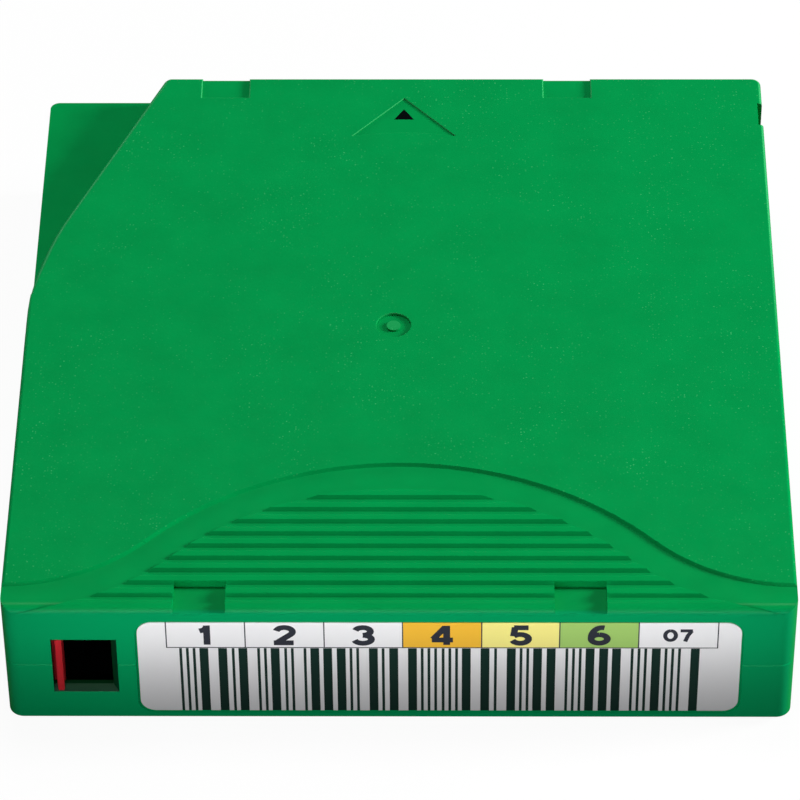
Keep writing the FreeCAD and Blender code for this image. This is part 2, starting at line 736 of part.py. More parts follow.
def upper_case():
    """The top half of the case."""
    level = at.case_height - at.step_depth
    parting = at.parting_level
    shell = rounded(case_block(parting, at.case_height), at.top_edge, at_height(at.case_height))
    shell = bevelled(shell, at.parting_bevel, at_height(parting))
    hollow = cut(inner_space(parting, at.ceiling_level),
                 low_corner(at.wall_thickness, at.corner_ceiling, at.ceiling_level))
    stepped = cut(shell, hollow, low_corner(0, at.corner_level, at.case_height + PAST),
                  bell(0, level, at.case_height + PAST, 1.2), edge_strip(level, at.front_edge))
    posts = [screw_post(x, y, parting, at.ceiling_level) for x, y in SCREW_PLACES]
    guide = slider_guide(at.slider_high - at.guide_lap, at.ceiling_level)
    walls = common(well_walls(parting, at.ceiling_level), hollow)
    whole = fuse(stepped, *posts, *brake_key(), *notch_ledges(), guide, walls, grip_ribs())
    holes = [cylinder(x, y, parting - PAST, at.screw_hole_top, at.screw_shank) for x, y in SCREW_PLACES]
    grooves = door_groove(at.corner_ceiling, at.corner_ceiling + at.groove_depth)
    opening = door_opening(parting - PAST, at.corner_ceiling)
    tools = holes + notches() + window() + grooves
    tools += [side_notch(), gate_mark(), label_seat(), opening, arrow_recess()]
    return named(cut(whole, *tools), "upper_case")


def locator(x, y):
    """The post of one locating hole."""
    half = at.locator_radius + at.locator_wall
    return box((x - half, y - half, at.floor_level - at.root),
               (x + half, y + half, at.locator_depth + at.locator_roof))


def board_rest(left):
    """A sloping rest for the memory board."""
    rest = doc.addObject("Part::Wedge", "rest")
    foot = -at.case_depth / 2 + at.wall_thickness
    reach = at.board_y - foot - at.board_thickness * math.sqrt(0.5)
    low = at.floor_level - at.root
    place(rest, left, 0, 0)
    bind(rest, Xmin=0, Xmax=at.rest_width, X2min=0, X2max=at.rest_width, Zmin=low, Z2min=low,
         Ymin=foot, Ymax=foot + reach, Zmax=at.floor_level + reach, Z2max=at.floor_level)
    return rest


def pin_clamp():
    """The wall that holds the leaf spring's strip against the back wall."""
    left = at.pin_x + at.clamp_left
    rear = at.case_depth / 2 - at.wall_thickness - at.clamp_gap
    return box((left, rear - at.clamp_width, at.floor_level - at.root),
               (left + at.clamp_length, rear, at.clamp_high))


def spring_stand():
    """The stand that the door's rod runs through."""
    wall = -at.case_width / 2 + at.side_wall / 2
    stand = box((wall, at.stand_y, at.stand_low),
                (at.door_spring_x + at.stand_reach, at.stand_y + at.stand_thickness, at.parting_level))
    way = rod_along("Y", at.door_spring_x, at.stand_y - PAST, at.door_spring_z,
                    at.stand_thickness + 2 * PAST, at.rod_radius + at.rod_clearance)
    return cut(stand, way)


def screw_holes(x, y):
    """The counterbore and the clearance hole of one case screw."""
    return [cylinder(x, y, -PAST, at.head_seat, at.screw_head + at.head_clearance),
            cylinder(x, y, 0, at.parting_level + PAST, at.screw_shank + at.screw_clearance)]


def sensing_slot():
    """The slot in the floor through which a drive feels the slider's shutter."""
    left = at.slider_left + at.slot_margin
    return box((left, at.slot_front, -PAST), (left + at.slot_width, at.slot_rear, at.floor_level + PAST))


def lower_case():
    """The bottom half of the case."""
    root = at.floor_level - at.root
    parting = at.parting_level
    shell = bevelled(case_block(0, parting), at.bottom_edge, at_height(0))
    shell = bevelled(shell, at.parting_bevel, at_height(parting))
    hollow = inner_space(at.floor_level, parting + PAST)
    posts = [screw_post(x, y, root, parting) for x, y in SCREW_PLACES]
    posts += [locator(x, y) for x, y in LOCATOR_PLACES]
    right = at.board_left + at.board_width - at.rest_width - at.rest_margin
    rests = [board_rest(at.board_left + at.rest_margin), board_rest(right)]
    whole = fuse(cut(shell, hollow), *posts, slider_guide(root, at.guide_high), well_walls(root, parting),
                 *rests, pin_clamp(), spring_stand())
    tools = [cylinder(at.hub_x, at.hub_y, -PAST, at.floor_level + PAST, at.hub_opening)]
    for x, y in SCREW_PLACES:
        tools += screw_holes(x, y)
    for x, y in LOCATOR_PLACES:
        tools.append(cylinder(x, y, -PAST, at.locator_depth, at.locator_radius))
    tools += window() + door_groove(at.floor_level - at.groove_depth, at.floor_level)
    tools += [sensing_slot(), side_notch(), label_seat(), door_opening(at.floor_level, parting + PAST)]
    return named(cut(whole, *tools), "lower_case")


def door():
    """The sliding door of the leader pin, with the rod that its spring sits on."""
    low = at.floor_level - at.groove_depth + at.door_gap
    high = at.corner_ceiling + at.groove_depth - at.door_gap
    inner = at.door_x + at.door_thickness
    lap = 0.1
    plate = box((at.door_x, at.door_rear, low), (inner, at.door_front, high))
    tab_end = at.door_front - at.tab_margin
    tab = box((at.door_x - at.tab_height, tab_end - at.tab_length, at.tab_low),
              (at.door_x + lap, tab_end, at.tab_high))
    lug = box((inner - lap, at.door_rear, at.door_spring_z - at.lug_half),
              (at.door_spring_x + at.lug_reach, at.door_rear + at.lug_length, at.door_spring_z + at.lug_half))
    start = at.stand_y - at.stand_thickness
    rod = rod_along("Y", at.door_spring_x, start, at.door_spring_z, at.door_rear - start + 1, at.rod_radius)
    hollow = box((inner - at.hollow_depth, at.door_rear + at.lug_length + 2, at.hollow_low),
                 (inner + PAST, at.door_front - 4, at.hollow_high))
    return named(cut(fuse(plate, tab, lug, rod), hollow), "door")


def coil(radius, wire, length, turns):
    """A spring wound about its own Z axis, of three-sided wire."""
    body = new_body()
    sketch = sketch_on(body, "XZ_Plane")
    half = wire / 2
    polygon(sketch, [(radius - half, 0), (radius + half, 0), (radius, wire)])
    helix = body.newObject("PartDesign::AdditiveHelix", "winding")
    helix.Profile = sketch
    helix.ReferenceAxis = (sketch, ["V_Axis"])
    helix.Mode = 2
    bind(helix, Height=length, Turns=turns)
    return body


def door_spring():
    """The coil spring that keeps the door shut."""
    start = at.stand_y + at.stand_thickness + at.spring_gap
    length = at.door_rear - start - at.door_spring_wire - at.spring_gap
    spring = coil(at.door_spring_radius, at.door_spring_wire, length, at.door_spring_turns)
    turn(spring, (1, 0, 0), -90)
    return named(place(spring, at.door_spring_x, start, at.door_spring_z), "door_spring")


def finger_lip(inner):
    """The lip that shows in the window, sloped below like the window's lower side."""
    front = -at.case_depth / 2
    low = at.window_low + at.lip_gap
    high = at.window_high - at.lip_gap
    body = new_body()
    sketch = sketch_on(body, "YZ_Plane", at.slider_right - at.slider_lip)
    polygon(sketch, [(front + at.lip_setback, low + at.lip_setback), (front + at.lip_setback, high),
                     (inner, high), (inner, low + at.window_slope),
                     (front + at.window_slope, low + at.window_slope)])
    pad(body, sketch, at.slider_lip)
    return body


def write_protect_slider():
    """The slider behind the window, with a shutter over the sensing slot in the floor."""
    outer = -at.case_depth / 2 + at.wall_thickness + at.slider_gap
    inner = outer + at.slider_thickness
    lap = 0.1
    face = box((at.slider_left, outer, at.slider_low), (at.slider_right, inner, at.slider_high))
    right = at.slider_left + at.foot_width
    foot = box((at.slider_left, inner - lap, at.slider_low),
               (right, at.foot_rear, at.slider_low + at.foot_thickness))
    shutter = box((at.slider_left, at.shutter_front, at.floor_level + at.shutter_gap),
                  (right, at.foot_rear, at.slider_low + lap))
    return named(fuse(face, finger_lip(outer + lap), foot, shutter), "write_protect_slider")


def pin_ends():
    """The lower and upper ends of the leader pin."""
    low = at.floor_level - at.groove_depth + at.pin_gap
    return low, at.corner_ceiling + at.groove_depth - at.pin_gap


def leader_pin():
    """The metal pin at the end of the tape, with a flange at each end."""
    low, high = pin_ends()
    body = new_body()
    sketch = sketch_on(body, "XZ_Plane")
    foot, head = low + at.pin_end, high - at.pin_end
    polygon(sketch, [(0, low), (at.pin_flange, low), (at.pin_flange, foot), (at.pin_shaft, foot),
                     (at.pin_shaft, head), (at.pin_flange, head), (at.pin_flange, high), (0, high)])
    revolve(body, sketch)
    return named(place(body, at.pin_x, at.pin_y), "leader_pin")


def leader_pin_clip():
    """The split sleeve that clamps the tape's end to the pin."""
    low = at.tape_low + at.clip_margin
    high = at.tape_low + at.tape_width - at.clip_margin
    sleeve = cylinder(at.pin_x, at.pin_y, low, high, at.clip_radius)
    bore = cylinder(at.pin_x, at.pin_y, low - PAST, high + PAST, at.pin_shaft + 0.01)
    slit = box((at.pin_x - at.clip_slit, at.pin_y - at.clip_radius - PAST, low - PAST),
               (at.pin_x + at.clip_slit, at.pin_y, high + PAST))
    return named(cut(sleeve, bore, slit), "leader_pin_clip")


def leaf_arm(foot, back, level):
    """One bent arm of the leaf spring, from its strip to the pin's shaft."""
    touch = at.pin_x + at.pin_shaft + at.spring_gap
    bent = touch + at.leaf_thickness
    knee = at.pin_y + 3.0
    body = new_body()
    sketch = sketch_on(body, "XY_Plane", level)
    polygon(sketch, [(foot + 0.2, back), (foot - 0.3, back), (foot - 0.9, knee),
                     (touch, at.pin_y + 0.4), (touch, at.pin_y - 0.3), (touch + 0.5, at.pin_y - 1.4),
                     (touch + 0.8, at.pin_y - 1.3), (bent, at.pin_y - 0.2),
                     (bent, at.pin_y + 0.3), (foot - 0.9 + at.leaf_thickness, knee),
                     (foot - 0.05, back - at.leaf_thickness), (foot + 0.2, back - at.leaf_thickness)])
    pad(body, sketch, at.leaf_arm)
    return body


def pin_spring():
    """The leaf spring: a strip on the back wall with one arm for each end of the pin."""
    back = at.case_depth / 2 - at.wall_thickness - at.spring_gap
    foot = at.pin_x + at.leaf_foot
    bottom, top = pin_ends()
    low = bottom + at.pin_end + at.spring_gap
    high = top - at.pin_end - at.spring_gap
    strip = box((foot, back - at.leaf_thickness, low), (foot + at.leaf_strip, back, high))
    arms = [leaf_arm(foot, back, level) for level in (low, high - at.leaf_arm)]
    return named(fuse(strip, *arms), "pin_spring")


def tooth(body, level, rise, inner, outer):
    """One radial tooth on a face, standing up or hanging down."""
    sketch = sketch_on(body, "XZ_Plane", -as_size(inner))
    root, tip = at.tooth_foot / 2, at.tooth_tip / 2
    base = level - rise * 0.1
    polygon(sketch, [(-root, base), (root, base), (tip, level + rise), (-tip, level + rise)])
    return pad(body, sketch, as_size(outer) - inner, backwards=True)


def reel_place(body):
    """Puts a reel part on the hub axis, turned half a tooth."""
    turn(body, (0, 0, 1), at.reel_turn.number)
    return place(body, at.hub_x, at.hub_y)


def pack_top():
    """The level where the upper flange lies on the hub."""
    return at.tape_low + at.tape_width + at.pack_gap


def reel_hub():
    """The hub with the lower flange, the brake teeth in it and the drive teeth below it."""
    body = new_body()
    sketch = sketch_on(body, "XZ_Plane")
    top = pack_top()
    flange_top = at.flange_low + at.flange_thickness
    polygon(sketch, [(at.web_bore, at.flange_low), (at.flange_radius, at.flange_low),
                     (at.flange_radius, flange_top), (at.hub_radius, flange_top), (at.hub_radius, top),
                     (at.hub_bore, top), (at.hub_bore, at.web_top), (at.web_bore, at.web_top)])
    revolve(body, sketch)
    lock = tooth(body, at.web_top, at.tooth_height, at.lock_inner, at.lock_outer)
    ring_of(body, lock, at.tooth_count)
    drive = tooth(body, at.flange_low, -at.tooth_height, at.gear_inner, at.gear_outer)
    ring_of(body, drive, at.tooth_count)
    rise = at.tooth_height + 0.1
    half = at.arm_half + at.arm_clearance
    sketch = sketch_on(body, "XY_Plane", at.web_top + rise)
    end = at.leg_ring + at.arm_half
    polygon(sketch, [(-half, 0), (half, 0), (half, end), (-half, end)])
    ring_of(body, pocket(body, sketch, rise + at.channel_depth), 3)
    sketch = sketch_on(body, "XY_Plane", at.web_top + rise)
    circle(sketch, 0, at.leg_ring, at.leg_radius + at.leg_clearance)
    depth = at.web_top + rise - at.flange_low + at.tooth_height + PAST
    ring_of(body, pocket(body, sketch, depth), 3)
    return named(reel_place(body), "reel_hub")


def reel_upper_flange():
    """The upper flange, welded to the top of the hub."""
    low = pack_top()
    high = low + at.flange_thickness
    inner = at.hub_bore - at.flange_seat
    body = new_body()
    sketch = sketch_on(body, "XZ_Plane")
    polygon(sketch, [(inner, low), (at.flange_radius, low), (at.flange_radius, high), (inner, high)])
    revolve(body, sketch)
    return named(reel_place(body), "reel_upper_flange")


def reel_plate():
    """The steel plate that the drive's magnet holds."""
    body = new_body()
    low = at.flange_low - at.plate_thickness
    sketch = circle(sketch_on(body, "XY_Plane", low), 0, 0, at.plate_outer)
    circle(sketch, 0, 0, at.plate_inner)
    pad(body, sketch, at.plate_thickness)
    return named(reel_place(body), "reel_plate")


def tape_pack():
    """The wound tape."""
    body = new_body()
    sketch = sketch_on(body, "XZ_Plane")
    high = at.tape_low + at.tape_width
    inner = at.hub_radius + 0.02
    polygon(sketch, [(inner, at.tape_low), (at.pack_radius, at.tape_low), (at.pack_radius, high),
                     (inner, high)])
    revolve(body, sketch)
    return named(reel_place(body), "tape_pack")


def tape_leader():
    """The stretch of tape from the pack to the pin."""
    half = 0.05
    end = at.pin_y - at.pin_shaft - 0.1
    low = (at.pin_x - half, at.hub_y, at.tape_low)
    return named(box(low, (at.pin_x + half, end, at.tape_low + at.tape_width)), "tape_leader")


def brake_disc():
    """The brake: a toothed disc with a boss that slides on the cross key."""
    body = new_body()
    sketch = sketch_on(body, "XZ_Plane")
    top = at.disc_low + at.disc_thickness
    button = at.disc_low - at.button_height
    polygon(sketch, [(0, button), (at.button_radius, button), (at.button_radius, at.disc_low),
                     (at.disc_radius, at.disc_low), (at.disc_radius, top), (at.boss_radius, top),
                     (at.boss_radius, at.boss_top), (0, at.boss_top)])
    revolve(body, sketch)
    ring_of(body, tooth(body, at.disc_low, -at.tooth_height, at.lock_inner, at.lock_outer), at.tooth_count)
    long_half = at.key_half + at.key_gap
    short_half = at.key_thickness / 2 + at.key_gap
    for x, y in ((long_half, short_half), (short_half, long_half)):
        sketch = sketch_on(body, "XY_Plane", at.boss_top)
        polygon(sketch, [(-x, -y), (x, -y), (x, y), (-x, y)])
        pocket(body, sketch, at.boss_top - at.key_low + at.key_travel)
    return named(place(body, at.hub_x, at.hub_y), "brake_disc")


def brake_spring():
    """The coil spring that holds the brake down."""
    start = at.disc_low + at.disc_thickness + at.spring_gap
    length = at.ceiling_level - start - at.spring_wire - at.spring_gap
    spring = coil(at.spring_radius, at.spring_wire, length, at.spring_turns)
    return named(place(spring, at.hub_x, at.hub_y, start), "brake_spring")


def release_pad():
    """The three-armed pad that lifts the brake when the drive pushes its legs."""
    low = at.web_top - at.channel_depth + at.spring_gap
    body = new_body()
    pad(body, circle(sketch_on(body, "XY_Plane", low), 0, 0, at.pad_centre), at.pad_thickness)
    sketch = sketch_on(body, "XY_Plane", low)
    end = at.leg_ring + at.arm_half - 0.3
    polygon(sketch, [(-at.arm_half, 0), (at.arm_half, 0), (at.arm_half, end), (-at.arm_half, end)])
    ring_of(body, pad(body, sketch, at.pad_thickness), 3)
    sketch = circle(sketch_on(body, "XY_Plane", low + 0.1), 0, at.leg_ring, at.leg_radius)
    ring_of(body, pad(body, sketch, low - at.flange_low + at.tooth_height, backwards=True), 3)
    sketch = circle(sketch_on(body, "XY_Plane", low), 0, 0, at.pad_stud)
    pad(body, sketch, at.disc_low - at.button_height - at.stud_gap - low)
    return named(reel_place(body), "release_pad")


def on_slope(thing, x, along_slope, drop):
    """Tilts a block at 45 degrees and puts it on the memory board's slope."""
    slope = math.sqrt(0.5)
    turn(thing, (1, 0, 0), 135)
    return place(thing, x, at.board_y - (as_size(along_slope) + drop) * slope,
                 at.floor_level + at.board_lift + (as_size(along_slope) - drop) * slope)


def memory_board():
    """The memory board, tilted across the corner of floor and front wall."""
    board = on_slope(doc.addObject("Part::Box", "board"), at.board_left, 0, 0)
    bind(board, Length=at.board_width, Width=at.board_length, Height=at.board_thickness)
    return named(board, "memory_board")


def memory_chip():
    """The chip below the memory board."""
    left = at.board_left + at.chip_left
    chip = on_slope(doc.addObject("Part::Box", "chip"), left, at.chip_up, at.board_thickness)
    bind(chip, Length=at.chip_size, Width=at.chip_size, Height=at.chip_height)
    return named(chip, "memory_chip")


def case_screw(x, y):
    """One screw, from below: a flat head with a cross recess and a six-sided thread-forming shank."""
    low = at.screw_low
    head = cylinder(x, y, low, low + at.screw_head_height, at.screw_head)
    slots = []
    for half, side in ((at.drive_half, at.drive_width / 2), (at.drive_width / 2, at.drive_half)):
        slots.append(box((x - half, y - side, low - PAST), (x + half, y + side, low + at.drive_depth)))
    foot = low + at.drive_depth + 0.1
    shank = place(doc.addObject("Part::Prism", "shank"), x, y, foot)
    bind(shank, Circumradius=at.screw_shank - 0.05, Height=at.screw_top - foot)
    return fuse(cut(head, *slots), shank)


def case_screws():
    """The screws that hold the case together."""
    group = doc.addObject("Part::Compound", "screws")
    group.Links = [case_screw(x, y) for x, y in SCREW_PLACES]
    return named(group, "case_screws")


def label():
    """The paper label."""
    seat = -at.case_depth / 2 + at.label_recess
    paper = box((at.label_left, seat - at.label_thickness, at.label_low),
                (at.label_right, seat, at.label_high))
    return named(rounded(paper, at.label_corner, along((0, 1, 0))), "label")


def export(parts):
    """Checks every object and writes each sub-part to its own file."""
    doc.recompute()
    for item in doc.Objects:
        if "Invalid" in item.State or "Error" in item.State:
            raise RuntimeError(f"{item.Name} failed: {item.State}")
    os.makedirs("parts", exist_ok=True)
    for part in parts:
        shape = part.Shape
        if shape.isNull() or not shape.isValid() or not shape.Solids:
            raise RuntimeError(f"{part.Label} has no valid shape")
        shape.exportStep(f"parts/{part.Label}.step")
        size = shape.BoundBox
        print(f"{part.Label}: {len(shape.Solids)} solids, {shape.Volume:.1f} mm3, "
              f"X {size.XMin:.2f}..{size.XMax:.2f} Y {size.YMin:.2f}..{size.YMax:.2f} "
              f"Z {size.ZMin:.2f}..{size.ZMax:.2f}")


fill_sheet()
export([
    upper_case(), lower_case(), label(), case_screws(), door(), door_spring(), write_protect_slider(),
    leader_pin(), leader_pin_clip(), pin_spring(), reel_hub(), reel_upper_flange(), reel_plate(),
    tape_pack(), tape_leader(), brake_disc(), brake_spring(), release_pad(), memory_board(),
    memory_chip(),
])
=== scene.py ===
import bmesh
import bpy
import json
import math
import random
from mathutils import Matrix, Vector


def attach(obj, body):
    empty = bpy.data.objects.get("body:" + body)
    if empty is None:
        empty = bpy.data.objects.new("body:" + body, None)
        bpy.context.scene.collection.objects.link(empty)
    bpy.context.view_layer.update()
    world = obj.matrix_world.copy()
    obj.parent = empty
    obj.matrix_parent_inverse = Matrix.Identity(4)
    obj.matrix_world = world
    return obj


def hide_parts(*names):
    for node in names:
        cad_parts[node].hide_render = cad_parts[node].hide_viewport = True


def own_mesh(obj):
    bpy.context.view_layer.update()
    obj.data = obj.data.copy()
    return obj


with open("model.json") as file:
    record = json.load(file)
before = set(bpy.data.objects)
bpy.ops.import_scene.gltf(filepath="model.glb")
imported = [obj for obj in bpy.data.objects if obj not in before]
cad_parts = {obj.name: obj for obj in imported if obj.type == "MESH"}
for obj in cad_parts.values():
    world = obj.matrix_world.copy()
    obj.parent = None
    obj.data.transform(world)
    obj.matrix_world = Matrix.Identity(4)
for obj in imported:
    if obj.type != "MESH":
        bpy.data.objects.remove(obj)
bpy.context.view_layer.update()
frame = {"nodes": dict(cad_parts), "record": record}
mm = 0.001


def paint(red, green, blue):
    # a colour as it is seen on a screen, 0 to 255, made linear for the shaders
    def linear(value):
        share = value / 255
        return share / 12.92 if share <= 0.04045 else ((share + 0.055) / 1.055) ** 2.4
    return (linear(red), linear(green), linear(blue), 1.0)


def darkened(colour, share):
    # a colour brought down to a share of its light
    return tuple(value * share for value in colour[:3]) + (1.0,)


class Wire:
    # one output socket; sums on it add Math nodes
    def __init__(self, nodes, socket):
        self.nodes = nodes
        self.socket = socket

    def other(self, name):
        # another output of the same node
        return Wire(self.nodes, self.socket.node.outputs[name])

    def maths(self, operation, first, second):
        return self.nodes.node("Math", {"operation": operation}, {0: first, 1: second})

    def __add__(self, other):
        return self.maths("ADD", self, other)

    def __radd__(self, other):
        return self.maths("ADD", other, self)

    def __sub__(self, other):
        return self.maths("SUBTRACT", self, other)

    def __rsub__(self, other):
        return self.maths("SUBTRACT", other, self)

    def __mul__(self, other):
        return self.maths("MULTIPLY", self, other)

    def __rmul__(self, other):
        return self.maths("MULTIPLY", other, self)

    def __gt__(self, other):
        return self.maths("GREATER_THAN", self, other)

    def __lt__(self, other):
        return self.maths("LESS_THAN", self, other)

    def __pow__(self, other):
        return self.maths("POWER", self, other)

    def least(self, other):
        return self.maths("MINIMUM", self, other)

    def most(self, other):
        return self.maths("MAXIMUM", self, other)


class Nodes:
    # makes the nodes of one tree, a material's or the world's
    def __init__(self, tree):
        self.tree = tree

    def plug(self, socket, value):
        # a wire is linked to the socket, anything else is set on it
        if isinstance(value, Wire):
            self.tree.links.new(value.socket, socket)
        else:
            socket.default_value = value

    def node(self, kind, settings=None, sockets=None, out=0):
        made = self.tree.nodes.new("ShaderNode" + kind)
        for key, value in (settings or {}).items():
            setattr(made, key, value)
        for key, value in (sockets or {}).items():
            self.plug(made.inputs[key], value)
        return Wire(self, made.outputs[out]) if made.outputs else None

    def seen(self):
        # 1 where the camera looks straight at it or through something clear
        straight = self.node("LightPath", out="Is Camera Ray")
        return straight.most(straight.other("Is Transmission Ray"))


class Finish(Nodes):
    # one material: its Principled shader and the nodes that feed it
    def __init__(self, name, colour, roughness, **constants):
        self.material = bpy.data.materials.new(name)
        self.material.use_nodes = True
        super().__init__(self.material.node_tree)
        self.shader = self.tree.nodes["Principled BSDF"]
        self.shader.inputs["Base Color"].default_value = colour
        self.shader.inputs["Roughness"].default_value = roughness
        for socket, value in constants.items():
            self.shader.inputs[socket.replace("_", " ")].default_value = value
        self.place = self.node("TexCoord", out="Object")

    def axes(self):
        parts = self.node("SeparateXYZ", None, {0: self.place})
        return [parts.other(axis) for axis in "XYZ"]

    def within(self, place, low, high):
        # 1 inside a box, in mm
        inside = 1.0
        for value, start, end in zip(place, low, high):
            inside = (value > start * mm) * (value < end * mm) * inside
        return inside

    def mapped(self, scale=(1, 1, 1), location=(0, 0, 0)):
        return self.node("Mapping", None, {"Vector": self.place, "Scale": scale, "Location": location})

    def noise(self, scale, detail=2.0, roughness=0.5, where=None):
        return self.node("TexNoise", None, {"Vector": where or self.place, "Scale": scale,
                                            "Detail": detail, "Roughness": roughness})

    def rings(self, middle, scale, distortion, detail):
        # circles round an upright axis through the middle, in mm
        where = self.mapped(location=(-middle[0] * mm, -middle[1] * mm, 0))
        return self.node("TexWave", {"wave_type": "RINGS", "rings_direction": "Z"},
                         {"Vector": where, "Scale": scale, "Distortion": distortion, "Detail": detail})

    def ramp(self, value, low, high, first=0.0, last=1.0):
        # straight from first to last as value goes from low to high, and held outside them
        return self.node("MapRange", {"clamp": True}, {0: value, 1: low, 2: high, 3: first, 4: last})

    def blend(self, share, first, second):
        return self.node("Mix", {"data_type": "RGBA"}, {0: share, 6: first, 7: second}, out=2)

    def colour(self, value):
        self.plug(self.shader.inputs["Base Color"], value)

    def rough(self, value):
        self.plug(self.shader.inputs["Roughness"], value)

    def bump(self, height, distance, strength):
        made = self.node("Bump", None, {"Height": height, "Distance": distance, "Strength": strength},
                         out="Normal")
        self.plug(self.shader.inputs["Normal"], made)


camera = {
    "place": (6.2, -473.2, 457.7),     # mm
    "down": 43.55,                     # degrees below level
    "aside": -0.79,                    # degrees; above zero it looks further to the right
    "roll": -0.51,                     # degrees; above zero it leans to the left
    "lens": 213.8,                     # mm
    "sensor": 36.0,                    # mm
    "clip": (0.01, 20.0),              # m
}


def standCamera():
    made = bpy.data.cameras.new("camera")
    made.sensor_width = camera["sensor"]
    made.lens = camera["lens"]
    made.clip_start, made.clip_end = camera["clip"]
    stood = bpy.data.objects.new("camera", made)
    bpy.context.scene.collection.objects.link(stood)
    turn = (Matrix.Rotation(-math.radians(camera["aside"]), 4, "Z")
            @ Matrix.Rotation(math.radians(90 - camera["down"]), 4, "X")
            @ Matrix.Rotation(math.radians(camera["roll"]), 4, "Z"))
    stood.matrix_world = Matrix.Translation(Vector(camera["place"]) * mm) @ turn
    bpy.context.scene.camera = stood


evenLight = 0.07      # from all round
lamps = {             # places and sizes in m; without a tilt a lamp is aimed at the object
    # above and behind
    "backLamp": {"watts": 3.8, "place": (0.0, 0.22, 0.95), "size": (0.26, 0.26)},
    # low on the right, it leaves the low corner in shade
    "sideLamp": {"watts": 8.8, "place": (0.75, 0.08, 0.30), "size": (0.22, 0.22), "glare": False},
    # low in front, so that the ribs hide each other from it
    "frontLamp": {"watts": 1.0, "place": (-0.3, -0.75, 0.18), "size": (0.5, 0.15)},
    # low behind, it draws the edges that face back
    "lowLamp": {"watts": 2.6, "place": (-0.38, 0.8, 0.2), "size": (1.3, 0.16), "glare": False},
    # more of the same for the low corner's step
    "edgeLamp": {"watts": 1.1, "place": (-0.4, 0.82, 0.21), "size": (0.25, 0.16), "glare": False},
    # below the floor, for views of the underside
    "underLamp": {"watts": 2.0, "place": (0.0, 0.3, -0.8), "size": (0.3, 0.3)},
    # close to the label's side, level with the top
    "stripLamp": {"watts": 0.0085, "place": (0.0, -0.068, 0.0205), "size": (0.112, 0.003), "tilt": 80},
}


def hangLamp(name, watts, place, size, tilt=None, glare=True):
    # a tilt is in degrees from straight down; one without glare gives form but no gloss
    lamp = bpy.data.lights.new(name, "AREA")
    lamp.shape = "RECTANGLE"
    lamp.size, lamp.size_y = size
    lamp.energy = watts
    hung = bpy.data.objects.new(name, lamp)
    bpy.context.scene.collection.objects.link(hung)
    place = Vector(place)
    if tilt is None:
        turn = (-place).to_track_quat("-Z", "Y").to_matrix().to_4x4()
    else:
        turn = Matrix.Rotation(math.radians(tilt), 4, "X")
    hung.matrix_world = Matrix.Translation(place) @ turn
    hung.visible_camera = False
    hung.visible_glossy = glare


def lightUp():
    world = bpy.data.worlds.new("world")
    bpy.context.scene.world = world
    world.use_nodes = True
    made = Nodes(world.node_tree)
    made.tree.nodes.clear()
    white = made.node("Background", None, {"Color": (1, 1, 1, 1), "Strength": 1.0})
    even = made.node("Background", None, {"Color": (1, 1, 1, 1), "Strength": evenLight})
    mixed = made.node("MixShader", None, {0: made.seen(), 1: even, 2: white})
    made.node("OutputWorld", None, {"Surface": mixed})
    for name, lamp in lamps.items():
        hangLamp(name, **lamp)


floor = {
    "half": 3.0,                       # m, half its side
    "drop": 0.05,                      # mm, how far it lies below the case
    "tone": 0.9,
    "bounce": 0.12,                    # the tone it has for the light it throws back
    "lift": 0.94,                      # how far it is lifted to white for the camera
    "roughness": 0.8,
}


def layFloor():
    bm = bmesh.new()
    bmesh.ops.create_grid(bm, x_segments=1, y_segments=1, size=floor["half"])
    bmesh.ops.translate(bm, vec=(0, 0, -floor["drop"] * mm), verts=bm.verts)
    mesh = bpy.data.meshes.new("floor")
    bm.to_mesh(mesh)
    bm.free()
    laid = bpy.data.objects.new("floor", mesh)
    bpy.context.scene.collection.objects.link(laid)
    tone, bounce = ((floor[key],) * 3 + (1,) for key in ("tone", "bounce"))
    pale = Finish("floorPaper", tone, floor["roughness"], Specular_IOR_Level=0.0)
    seen = pale.seen()
    pale.colour(pale.blend(seen, bounce, tone))
    glow = pale.node("Emission", None, {"Color": (1, 1, 1, 1)})
    plain = Wire(pale, pale.shader.outputs[0])
    lifted = pale.node("MixShader", None, {0: seen * floor["lift"], 1: plain, 2: glow})
    below = pale.node("NewGeometry", out="Backfacing")      # from below it is clear
    clear = pale.node("BsdfTransparent")
    whole = pale.node("MixShader", None, {0: below, 1: lifted, 2: clear})
    pale.plug(pale.tree.nodes["Material Output"].inputs["Surface"], whole)
    laid.visible_shadow = False
    mesh.materials.append(pale.material)


bpy.context.scene.view_settings.view_transform = "Standard"
standCamera()
lightUp()
layFloor()
print("camera, floor and light are set")


def keep(name, bm, finish, body, replaced=()):
    # the finished mesh becomes a piece on its body
    mesh = bpy.data.meshes.new(name)
    bm.to_mesh(mesh)
    bm.free()
    if mesh.has_custom_normals:
        mesh.attributes.remove(mesh.attributes["custom_normal"])
    for one in (finish if isinstance(finish, list) else [finish]):
        mesh.materials.append(one.material)
    piece = bpy.data.objects.new(name, mesh)
    bpy.context.scene.collection.objects.link(piece)
    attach(piece, body)
    if replaced:
        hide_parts(*replaced)
    return piece


def mergedCopy(nodeName, weld=0.001, flat=0.4):
    # the node's triangles joined up, with flat areas made whole; mm and degrees
    bm = bmesh.new()
    bm.from_mesh(frame["nodes"][nodeName].data)
    bmesh.ops.remove_doubles(bm, verts=bm.verts, dist=weld * mm)
    bmesh.ops.dissolve_limit(bm, angle_limit=math.radians(flat), verts=bm.verts, edges=bm.edges)
    return bm


def arc(x, y, wide, tall, start, end, count=14):
    # points along part of an oval, angles in degrees
    turns = [math.radians(start + (end - start) * i / count) for i in range(count + 1)]
    return [(x + wide * math.cos(turn), y + tall * math.sin(turn)) for turn in turns]


def scaled(bm):
    # forms are drawn in mm and used in m
    bmesh.ops.scale(bm, vec=(mm, mm, mm), verts=bm.verts)
    return bm


